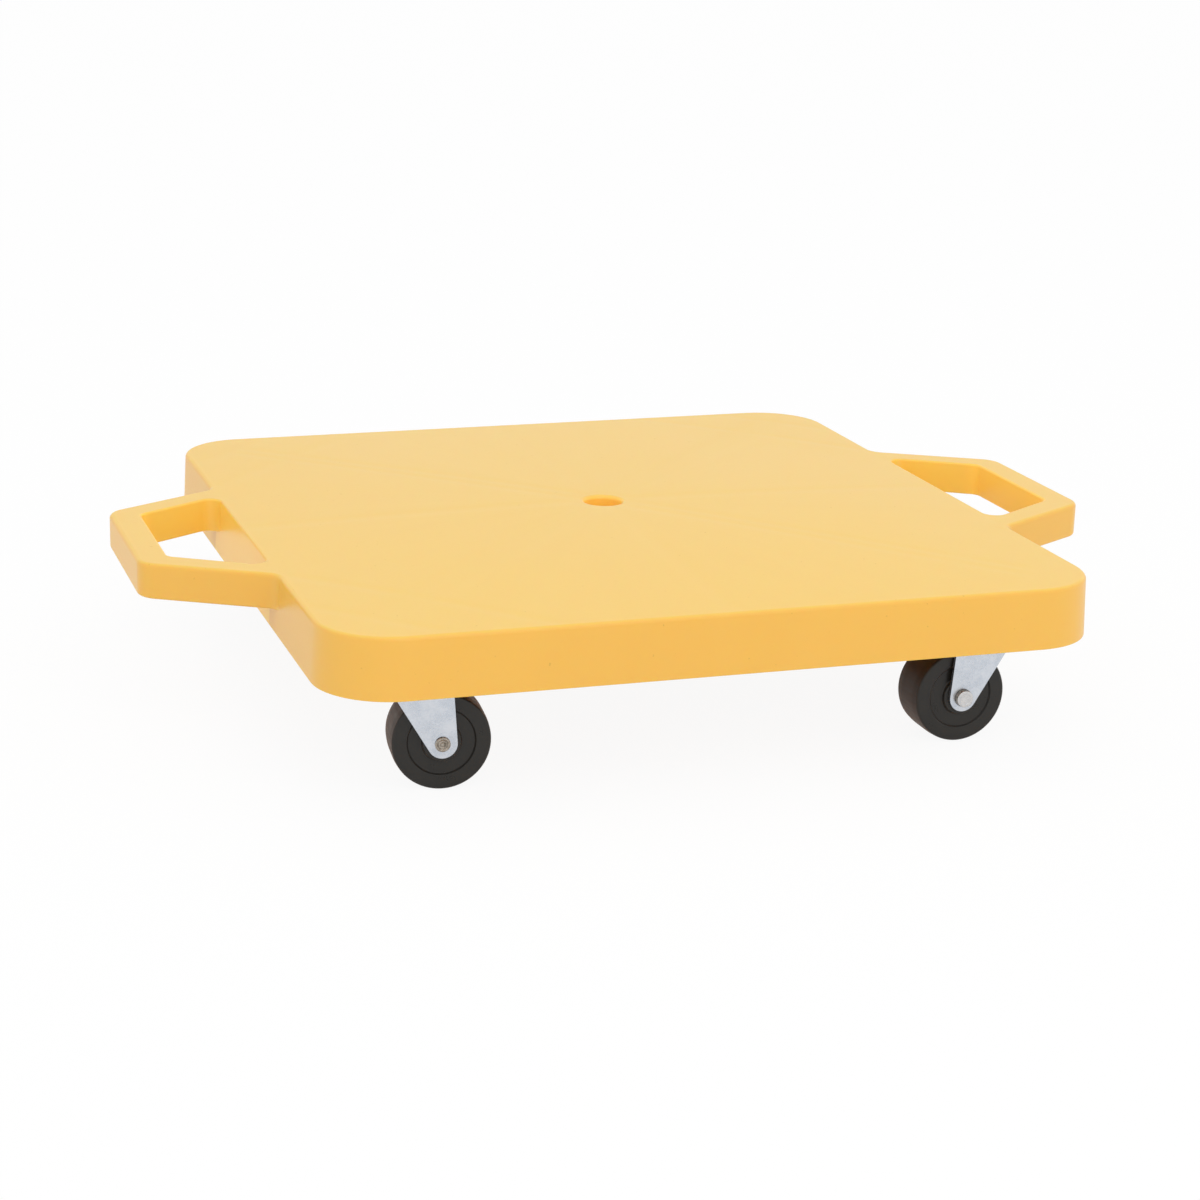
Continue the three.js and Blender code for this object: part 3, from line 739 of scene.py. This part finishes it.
def caster_plate():
    """A flat square with a dish joined to it, less recess, track and holes."""
    corners = corner_square(plate_half, plate_corner, steps=8)
    rings = [
        ring(outline(corners, plate_edge), plate_bottom),
        ring(outline(corners, 0), plate_bottom + plate_edge),
        ring(outline(corners, 0), plate_top - plate_edge),
        ring(outline(corners, plate_edge), plate_top),
    ]
    plate = lofted("plate", rings)
    wide = pitch_radius + race_shoulder
    low, high = plate_bottom + dish_weld, plate_top - dish_weld
    dish = turned("dish", outline([
        (0, race_face, 0, 0),
        (wide, race_face, 0.8, 4),
        (wide + dish_slope, low, 0.8, 4),
        (wide + dish_slope + dish_border, low, 0, 0),
        (wide + dish_slope + dish_border, high, 0, 0),
        (0, high, 0, 0),
    ]), sides=64)
    below, above = plate_bottom - cut_margin, plate_top + cut_margin
    recess = turned("recess", outline([
        (0, race_face + sheet, 0, 0),
        (wide - sheet, race_face + sheet, 0.6, 3),
        (wide - sheet + dish_slope, above, 0, 0),
        (0, above, 0, 0),
    ]), sides=64)
    holes = [round_bar("hole", screw_radius + fit_gap, below, above, sides=24,
                       place=(x * screw_half_pitch, y * screw_half_pitch))
             for x in (-1, 1) for y in (-1, 1)]
    holes.append(round_bar("pin_hole", pin_radius + fit_gap, race_face - cut_margin, above, 32))
    worked(plate, "UNION", [dish])
    return worked(plate, "DIFFERENCE", [recess, ball_track(), *holes])


def zinc_plate():
    """Bright zinc on cold-rolled strip: bluish, faintly clouded, with fine rolling lines."""
    finish = Finish("zinc_plated_steel", {"Metallic": 1.0})
    cloud = finish.noise(finish.place, scale=170.0, detail=4.0, roughness=0.6)
    lines = finish.noise(finish.stretched(60.0, 2500.0, 60.0), scale=1.0)
    mottle = finish.noise(finish.place, scale=1100.0)
    tone = finish.step(cloud * 0.55 + lines * 0.15 + mottle * 0.3, 0.3, 0.7)
    colour = finish.blend(tone, (0.52, 0.565, 0.63, 1), (0.68, 0.71, 0.76, 1))
    gloss = 0.29 + cloud.swing(0.3) + mottle.swing(0.15)
    height = lines * 0.5 + mottle * 0.5
    return finish.surface(colour, gloss, height, distance=0.00002)


zinc = zinc_plate()
plate_mesh = finished(caster_plate(), zinc)
for caster, (x, y, _) in casters.items():
    fitted(f"{caster}_plate_pressing", plate_mesh, placed(x, y, plate_turn), "board",
           f"{caster}_plate")

# ---- Screws
# Four pan-headed tapping screws hold each plate up against its bosses: bright steel, with a
# cross recess in the head and a coarse thread that cuts its own way into the plastic.

screw_head_radius = 4.0
screw_head_height = 2.0
screw_length = 14.0
screw_point = 3.0
thread_pitch = 1.4
thread_root = 1.5
thread_flanks = (0.35, 0.65)
recess_length = 4.2
recess_width = 0.9
recess_depth = 1.2
recess_taper = 0.7
driven_turn = 37


def screw():
    """Turned in one, with a cross cut by two tapered blades."""
    head_top = plate_bottom - fit_gap
    head_bottom = head_top - screw_head_height
    tip = plate_top + screw_length - fit_gap
    low_side = outline([
        (0, head_bottom, 0, 0),
        (screw_head_radius, head_bottom, 1.5, 8),
        (screw_head_radius, head_top, 0.2, 2),
        (0, head_top, 0, 0),
    ])
    thread = [(screw_radius, head_top)]
    turns = int((tip - screw_point - head_top) / thread_pitch)
    for k in range(turns):
        up = head_top + k * thread_pitch
        thread += [(thread_root, up + thread_pitch * flank) for flank in thread_flanks]
        thread.append((screw_radius, up + thread_pitch))
    profile = [*low_side[:-1].tolist(), *thread, (0, tip)]
    piece = turned("screw", profile, sides=24)
    slot = np.array([(x * recess_length / 2, y * recess_width / 2) for x, y in around])
    blades = []
    for turn in (0, QUARTER):
        blade = lofted("blade", [ring(slot, head_bottom - cut_margin),
                                 ring(slot * recess_taper, head_bottom + recess_depth)])
        blade.data.transform(Matrix.Rotation(turn, 4, "Z"))
        blades.append(blade)
    return worked(piece, "DIFFERENCE", blades)


def bright_steel():
    """Plain bright steel, turned and polished, with faint rings from the lathe."""
    finish = Finish("bright_steel", {"Metallic": 1.0})
    _, _, z, radius = finish.apart()
    rings = finish.drawn_noise(radius * 4000.0, z * 4000.0)
    cloud = finish.noise(finish.place, scale=300.0)
    colour = finish.blend(cloud, (0.50, 0.50, 0.51, 1), (0.62, 0.62, 0.62, 1))
    return finish.surface(colour, 0.24 + cloud.swing(0.15), rings, distance=0.00001)


steel = bright_steel()
screw_mesh = finished(screw(), steel)
for caster, (x, y, _) in casters.items():
    for number, corner in enumerate(around, 1):
        offset = [side * screw_half_pitch * MM for side in corner]
        stand = placed(x, y, plate_turn) @ Matrix.Translation((*offset, 0))
        turn = Matrix.Rotation(math.radians(driven_turn * number + x + y), 4, "Z")
        fitted(f"{caster}_screw_{number}_fixing", screw_mesh, stand @ turn,
               "board", f"{caster}_screw_{number}")

# ---- King pins and retaining washers
# Each fork hangs on a steel rivet through the plate. Its head lies flush in the dish, and its
# foot is spun out under a hardened washer that holds the fork up against the balls.

pin_head_radius = 7.0
pin_head_height = 1.1
pin_foot_radius = 6.4
pin_foot_height = 1.6
washer_radius = 8.2
washer_thickness = 1.4
race_bulge = 0.6


def king_pin():
    """From the dimpled, spun foot up to the flush head."""
    head_low = race_face + sheet + fit_gap
    head_high = head_low + pin_head_height
    foot_top = crown_bottom - race_bulge - 2 * fit_gap - washer_thickness
    foot_low = foot_top - pin_foot_height
    return turned("king_pin", outline([
        (0, foot_low + 0.3, 0, 0),
        (1.6, foot_low + 0.3, 0.3, 3),
        (2.0, foot_low, 0.2, 2),
        (pin_foot_radius, foot_low, 1.2, 8),
        (pin_foot_radius, foot_top, 0.2, 2),
        (pin_radius, foot_top, 0, 0),
        (pin_radius, head_low, 0, 0),
        (pin_head_radius, head_low, 0.2, 2),
        (pin_head_radius, head_high, 0.7, 5),
        (0, head_high, 0, 0),
    ]), sides=48)


def washer():
    top = crown_bottom - race_bulge - fit_gap
    low = top - washer_thickness
    bore = pin_radius + fit_gap
    return turned("washer", outline([
        (bore, low, 0.2, 2),
        (washer_radius, low, 0.6, 4),
        (washer_radius, top, 0.3, 3),
        (bore, top, 0.2, 2),
    ]), sides=48)


# Where the rivets are bright, in metres: along them, and out to the edge of the head's face.
head_end = (-0.014, 0.014)
head_face_edge = (0.0043, 0.0045)


def plain_steel():
    """Rivet steel: bright on the head's face, dull brown on its side and where it was spun down."""
    finish = Finish("rivet_steel", {"Metallic": 1.0})
    _, _, z, radius = finish.apart()
    rings = finish.drawn_noise(radius * 2600.0, z * 2600.0)
    cloud = finish.noise(finish.place, scale=500.0, detail=3.0)
    tone = finish.step(rings * 0.5 + cloud * 0.5, 0.3, 0.7)
    # A dull brown everywhere but on the head's face: on the spun end and on the head's side alike.
    spun = finish.blend(tone, (0.16, 0.135, 0.105, 1), (0.52, 0.47, 0.41, 1))
    bright = finish.blend(tone, (0.54, 0.54, 0.55, 1), (0.68, 0.675, 0.67, 1))
    polished = finish.step(z, *head_end) * (1 - finish.step(radius, *head_face_edge))
    colour = finish.blend(polished, spun, bright)
    return finish.surface(colour, 0.28 + cloud.swing(0.2), rings, distance=0.00004)


rivet_steel = plain_steel()
pin_mesh = finished(king_pin(), rivet_steel)
washer_mesh = finished(washer(), zinc)
for caster, (x, y, _) in casters.items():
    fitted(f"{caster}_king_rivet", pin_mesh, placed(x, y, 0), "board",
           f"{caster}_king_pin")
    fitted(f"{caster}_retaining_washer", washer_mesh, placed(x, y, 0), "board",
           f"{caster}_retainer")

# ---- Ball races
# Eight hardened steel balls in a thin flat ring, half way between the plate's track and the
# fork's. They turn with the fork here, where real ones would go half as far.

ball_count = 8
cage_width = 1.4
cage_thickness = 0.8
cage_edge = 0.15


def ball_race():
    """The ring with its balls, joined into one piece."""
    height = crown_top + race_gap / 2
    inner, outer = pitch_radius - cage_width / 2, pitch_radius + cage_width / 2
    low, high = height - cage_thickness / 2, height + cage_thickness / 2
    cage = turned("cage", outline([
        (inner, low, cage_edge, 2),
        (outer, low, cage_edge, 2),
        (outer, high, cage_edge, 2),
        (inner, high, cage_edge, 2),
    ]), sides=64)
    balls = []
    slopes = np.linspace(-QUARTER, QUARTER, 17)
    profile = [(max(ball_radius * math.cos(a), 0), ball_radius * math.sin(a)) for a in slopes]
    profile[0], profile[-1] = (0, -ball_radius), (0, ball_radius)
    for k in range(ball_count):
        angle = 2 * math.pi * k / ball_count
        ball = turned("ball", profile, sides=24)
        place = Vector((pitch_radius * math.cos(angle), pitch_radius * math.sin(angle), height))
        ball.data.transform(Matrix.Translation(place * MM))
        balls.append(ball)
    return worked(cage, "UNION", balls)


race_mesh = finished(ball_race(), steel)
for caster, (x, y, yaw) in casters.items():
    fitted(f"{caster}_ball_ring", race_mesh, placed(x, y, yaw), f"{caster}_swivel",
           f"{caster}_ball_race")

# ---- Forks
# Each fork is one strip of steel, stamped out flat, bent down at both sides over the wheel and
# zinc plated. Its leading edges slant, its ends are round, and its edges are a little rounded.

bend_radius = 3.0
leg_end = 7.4
leg_inside = 13.0
leg_outside = leg_inside + sheet
leading_slant = math.radians(31.2)
trailing_lean = math.radians(4.5)
crown_front = 15.5
crown_front_corner = 9.0
notch_depth = 9.0
notch_width = 17.0
notch_corner = 5.0
leading_fillet = 4.0
fork_edge = 0.25
fork_edge_angle = 40
axle_radius = 3.0
spare = 2.0


def prism(name, section, low, high, turn):
    """A straight bar from low to high along Z, then turned by a matrix."""
    piece = lofted(name, [ring(section, low), ring(section, high)])
    piece.data.transform(turn)
    return piece


def fork_channel():
    """The bent strip, drawn across the fork and drawn out along it."""
    low = wheel_radius - leg_end - spare
    inner, outer, steps = bend_radius - sheet, bend_radius, 8
    section = outline([
        (-leg_outside, low, 0, 0),
        (-leg_inside, low, 0, 0),
        (-leg_inside, crown_bottom, inner, steps),
        (leg_inside, crown_bottom, inner, steps),
        (leg_inside, low, 0, 0),
        (leg_outside, low, 0, 0),
        (leg_outside, crown_top, outer, steps),
        (-leg_outside, crown_top, outer, steps),
    ])
    across_is_y = Matrix(((0, 0, 1, 0), (1, 0, 0, 0), (0, 1, 0, 0), (0, 0, 0, 1)))
    return prism("channel", section, -crown_front - spare, caster_trail + leg_end, across_is_y)


def fork_side():
    """Side view: round ends about the axle, steep trailing and slanted leading edges."""
    leg_top = crown_top - bend_radius - sheet / 2
    axle = np.array((caster_trail, wheel_radius))
    lead_angle, trail_angle = math.pi + leading_slant, trailing_lean
    arc = [axle + leg_end * np.array((math.cos(a), math.sin(a)))
           for a in np.linspace(lead_angle, 2 * math.pi + trail_angle, 29)]
    lead_x = arc[0][0] - (leg_top - arc[0][1]) * math.tan(leading_slant)
    trail_x = arc[-1][0] - (crown_top + spare - arc[-1][1]) * math.tan(trailing_lean)
    shoulder = outline([
        (*arc[0], 0, 0),
        (trail_x, crown_top + spare, 0, 0),
        (-crown_front - spare, crown_top + spare, 0, 0),
        (-crown_front - spare, leg_top, 0, 0),
        (lead_x, leg_top, leading_fillet, 8),
    ])[1:]
    section = np.vstack((arc, shoulder))
    side_is_xz = Matrix(((1, 0, 0, 0), (0, 0, -1, 0), (0, 1, 0, 0), (0, 0, 0, 1)))
    return prism("side", section, -leg_outside - spare, leg_outside + spare, side_is_xz)


def fork_plan():
    """Plan: the crown's front is rounded, and its back notched between the legs."""
    back, wide = caster_trail + leg_end + spare, leg_outside + spare
    low, high = 0, crown_top + spare
    front_corner = (-crown_front, -wide, crown_front_corner + spare, 12)
    plan = outline(both_sides([front_corner, (back, -wide, 0, 0)]))
    notch_end = (back - spare - notch_depth, -notch_width / 2, notch_corner, 8)
    notch = outline(both_sides([notch_end, (back + spare, -notch_width / 2, 0, 0)]))
    whole = lofted("plan", [ring(plan, low), ring(plan, high)])
    cut = lofted("notch", [ring(notch, low - spare), ring(notch, high + spare)])
    return worked(whole, "DIFFERENCE", [cut])


def build_fork():
    """What channel, side and plan have in common, drilled, with a track in a bulge."""
    fork = worked(fork_channel(), "INTERSECT", [fork_side(), fork_plan()])
    reach = leg_outside + spare
    axle_hole = round_bar("axle_hole", axle_radius + fit_gap, -reach, reach, sides=48)
    axle_hole.data.transform(Matrix.Translation((caster_trail * MM, 0, wheel_radius * MM))
                             @ Matrix.Rotation(QUARTER, 4, "X"))
    pin_hole = round_bar("pin_hole", pin_radius + fit_gap,
                         crown_bottom - spare, crown_top + spare, sides=40)
    bulge_radius = pitch_radius + race_shoulder / 2
    bulge = turned("bulge", outline([
        (0, crown_bottom - race_bulge, 0, 0),
        (bulge_radius, crown_bottom - race_bulge, 0.5, 3),
        (bulge_radius + race_bulge, crown_bottom + sheet / 2, 0, 0),
        (0, crown_bottom + sheet / 2, 0, 0),
    ]), sides=64)
    worked(fork, "DIFFERENCE", [axle_hole])
    rounding = fork.modifiers.new("rounded edges", "BEVEL")
    rounding.width = fork_edge * MM
    rounding.segments = 3
    rounding.limit_method = "ANGLE"
    rounding.angle_limit = math.radians(fork_edge_angle)
    settled(fork)
    worked(fork, "UNION", [bulge])
    return worked(fork, "DIFFERENCE", [pin_hole, ball_track()])


fork_mesh = finished(build_fork(), zinc)
for caster, (x, y, yaw) in casters.items():
    fitted(f"{caster}_fork_pressing", fork_mesh, placed(x, y, yaw), f"{caster}_swivel",
           f"{caster}_fork")

# ---- Axles and bushes
# A steel rivet goes through both legs. Its plain head has nearly straight sides, and its far end
# is spun down, with rings left by the tool. A pale nylon bush runs on it inside the wheel.

peened_radius = 3.9
peened_height = 0.9
head_base_radius = 4.7
head_radius = 4.45
head_height = 2.4
hub_width = 25.4
bush_wall = 1.5


def axle():
    """From the spun end, with its rings, to the head."""
    face = leg_outside + fit_gap
    end = -face - peened_height
    return turned("axle", outline([
        # The spun end's rings.
        (0, end + 0.1, 0, 0),
        (0.45, end, 0.1, 3),
        (0.85, end + 0.1, 0.1, 2),
        (1.15, end + 0.45, 0.1, 3),
        (1.5, end + 0.15, 0.15, 3),
        (2.15, end + 0.1, 0.2, 3),
        (2.5, end + 0.5, 0.1, 3),
        (2.85, end + 0.15, 0.2, 3),
        (3.4, end + 0.2, 0.3, 4),
        (peened_radius, end + 0.6, 0.3, 4),
        (peened_radius - 0.1, -face, 0.1, 2),
        (axle_radius, -face, 0, 0),
        (axle_radius, face, 0, 0),
        # The head, a little sunk in the middle.
        (head_base_radius, face, 0.1, 2),
        (head_base_radius, face + 0.5, 0.3, 4),
        (head_radius + 0.05, face + head_height - 0.8, 0.3, 4),
        (head_radius, face + head_height, 0.5, 6),
        (2.9, face + head_height, 0.1, 2),
        (2.7, face + head_height - 0.12, 0.1, 2),
        (0, face + head_height - 0.05, 0, 0),
    ]), sides=64)


def bush():
    bore = axle_radius + fit_gap
    half = hub_width / 2
    return turned("bush", outline([
        (bore, -half, 0.2, 2),
        (bore + bush_wall, -half, 0.3, 3),
        (bore + bush_wall, half, 0.3, 3),
        (bore, half, 0.2, 2),
    ]), sides=48)


def nylon():
    """Natural nylon: pale, slightly cloudy and waxy."""
    finish = Finish("natural_nylon", {"IOR": 1.53})
    cloud = finish.noise(finish.place, scale=200.0, detail=3.0)
    colour = finish.blend(cloud, (0.60, 0.575, 0.50, 1), (0.70, 0.68, 0.61, 1))
    return finish.surface(colour, 0.42 + cloud.swing(0.15), cloud, distance=0.00005)


def on_axle(x, y, yaw):
    """Where the wheel stands: its own Z axis lies along the axle."""
    return (placed(x, y, yaw) @ Matrix.Translation((caster_trail * MM, 0, wheel_radius * MM))
            @ Matrix.Rotation(-QUARTER, 4, "X"))


axle_mesh = finished(axle(), rivet_steel, sharp_angle=30)
bush_mesh = finished(bush(), nylon())
for caster, stand in casters.items():
    fitted(f"{caster}_axle_rivet", axle_mesh, on_axle(*stand), f"{caster}_swivel",
           f"{caster}_axle")
    fitted(f"{caster}_bush_sleeve", bush_mesh, on_axle(*stand), f"{caster}_wheel_set",
           f"{caster}_bush")

# ---- Wheels
# Hard black moulded wheels with a faintly crowned tread, a sunk web in each face and a raised
# hub that runs close between the legs. They turn with their bushes.

tread_half = 11.7
tread_flat_half = 6.5
tread_drop = 0.45
tread_rounding = 1.3
tread_crown_radius = 30.0
rim_inner = 17.3
rim_step = 0.8
web_recess = 1.1
hub_radius = 9.5
mould_draft = 0.5
# Where the tread's scuffs and painted brown reflection begin, in metres from the axle.
tread_wear_and_reflection = (0.0240, 0.0247)


def wheel():
    """Turned from half a section: bore, hub, web, rim and tread."""
    bore = axle_radius + bush_wall + 2 * fit_gap
    web = tread_half - web_recess
    half = [
        (bore, hub_width / 2, 0.4, 3),
        (hub_radius, hub_width / 2, 0.7, 5),
        (hub_radius + mould_draft, web, 1.0, 6),
        (rim_inner - rim_step, web, 0.4, 4),
        (rim_inner, tread_half, 0.3, 4),
        (wheel_radius - tread_drop, tread_half, tread_rounding, 8),
        (wheel_radius, tread_flat_half, tread_crown_radius, 4),
    ]
    lower = [(radius, -height, rounding, steps) for radius, height, rounding, steps in half]
    return turned("wheel", outline(lower + half[::-1]), sides=112)


def black_plastic():
    """Hard black plastic: satin faces, faint mould swirls, a tread with fine scuffs and painted
    brown reflection.
    """
    finish = Finish("black_wheel_plastic", {
        "IOR": 1.5, "Specular IOR Level": 0.36,
        # The orange-brown sheen is a painted reflection of a brown floor.
        "Sheen Weight": 0.14, "Sheen Roughness": 0.35, "Sheen Tint": (1.0, 0.44, 0.17, 1),
    })
    _, _, z, radius = finish.apart()
    swirl = finish.drawn_noise(radius * 900.0, z * 300.0, detail=3.0)
    cloud = finish.noise(finish.place, scale=90.0, detail=3.0)
    grain = finish.noise(finish.place, scale=1800.0, detail=1.0)
    scuff = finish.noise(finish.stretched(900.0, 900.0, 60.0), scale=1.0, detail=3.0)
    tread = finish.step(radius, *tread_wear_and_reflection)
    tone = swirl * 0.3 + cloud * 0.7
    colour = finish.blend(tone, (0.012, 0.0110, 0.009, 1), (0.026, 0.0235, 0.020, 1))
    # The tread's brown: fine scuffs, and a painted reflection of a brown floor.
    worn_and_reflected = finish.blend(scuff, (0.012, 0.0080, 0.006, 1), (0.048, 0.029, 0.019, 1))
    colour = finish.blend(tread, colour, worn_and_reflected)
    gloss = 0.30 + cloud.swing(0.12) + grain.swing(0.06) + tread * (scuff * 0.3 + 0.04)
    height = swirl * 0.6 + grain * 0.4
    return finish.surface(colour, gloss, height, distance=0.00003)


wheel_mesh = finished(wheel(), black_plastic())
for caster, stand in casters.items():
    fitted(f"{caster}_wheel_moulding", wheel_mesh, on_axle(*stand), f"{caster}_wheel_set",
           f"{caster}_wheel")

# ---- Floor, light and camera
# A plain pale studio: a white floor that keeps the board's soft shadow, an even white room and
# one wide soft lamp above. The camera stands low in front, a little to the left.

floor_half = 12.0
floor_white = 0.95
floor_glow_seen = 0.92
floor_glow_mirrored = 0.55
room_level = 0.9
lamp_watts = 11.5
lamp_width = 1.8
lamp_place = Vector((0.1, -1.8, 1.8))

# Yaw, pitch and roll in degrees, place in metres, sensor and lens in mm.
camera_turns = (17.042, 16.986, 1.057)
camera_place = (-0.47050, -1.33376, 0.46641)
camera_sensor = 36.0
camera_lens = 78.969
camera_shift = 0.0875


def seen_white(nodes, by_camera=1.0, by_mirror=1.0):
    """How white it looks to the camera and in a mirror; 0 for the light on the pieces."""
    rays = nodes.node("ShaderNodeLightPath").socket.node.outputs
    kinds = ("Camera", "Glossy", "Transmission")
    seen, mirrored, through = (Wire(nodes, rays[f"Is {kind} Ray"]) for kind in kinds)
    return seen * by_camera + (mirrored + through) * by_mirror


floor = in_scene("studio_floor", bpy.data.meshes.new("studio_floor"))
floor_corners = [(x * floor_half, y * floor_half, 0) for x, y in around]
floor.data.from_pydata(floor_corners, [], [(0, 1, 2, 3)])
paint = bpy.data.materials.new("studio_white")
paint.use_nodes = True
paint.node_tree.nodes.clear()
coat = Nodes(paint.node_tree)
matt = coat.node("ShaderNodeBsdfDiffuse", None, {"Color": (*[floor_white] * 3, 1)})
glow = coat.node("ShaderNodeEmission", None, {"Strength": 1.0})
both = coat.node("ShaderNodeMixShader", None, {
    0: seen_white(coat, floor_glow_seen, floor_glow_mirrored), 1: matt, 2: glow})
coat.node("ShaderNodeOutputMaterial", None, {0: both})
floor.data.materials.append(paint)

world = bpy.data.worlds.new("studio_room")
bpy.context.scene.world = world
world.use_nodes = True
world.node_tree.nodes.clear()
room = Nodes(world.node_tree)
light = room.node("ShaderNodeBackground", None, {"Color": (1, 1, 1, 1), "Strength": room_level})
white = room.node("ShaderNodeBackground", None, {"Color": (1, 1, 1, 1), "Strength": 1.0})
either = room.node("ShaderNodeMixShader", None, {0: seen_white(room), 1: light, 2: white})
room.node("ShaderNodeOutputWorld", None, {0: either})

lamp = in_scene("soft_lamp", bpy.data.lights.new("soft_lamp", "AREA"))
lamp.data.energy = lamp_watts
lamp.data.shape = "DISK"
lamp.data.size = lamp_width
lamp.location = lamp_place
lamp.rotation_mode = "QUATERNION"
lamp.rotation_quaternion = lamp_place.to_track_quat("Z", "Y")

yaw, pitch, roll = (math.radians(angle) for angle in camera_turns)
forward = Vector((math.sin(yaw) * math.cos(pitch), math.cos(yaw) * math.cos(pitch),
                  -math.sin(pitch)))
level = Vector((math.cos(yaw), -math.sin(yaw), 0))
upright = level.cross(forward)
across = level * math.cos(roll) + upright * math.sin(roll)
upward = upright * math.cos(roll) - level * math.sin(roll)
camera = in_scene("camera", bpy.data.cameras.new("camera"))
camera.matrix_world = Matrix((across, upward, -forward)).transposed().to_4x4()
camera.location = camera_place
camera.data.sensor_width = camera_sensor
camera.data.lens = camera_lens
camera.data.shift_x = camera_shift
bpy.context.scene.camera = camera
bpy.context.scene.view_settings.view_transform = "Standard"
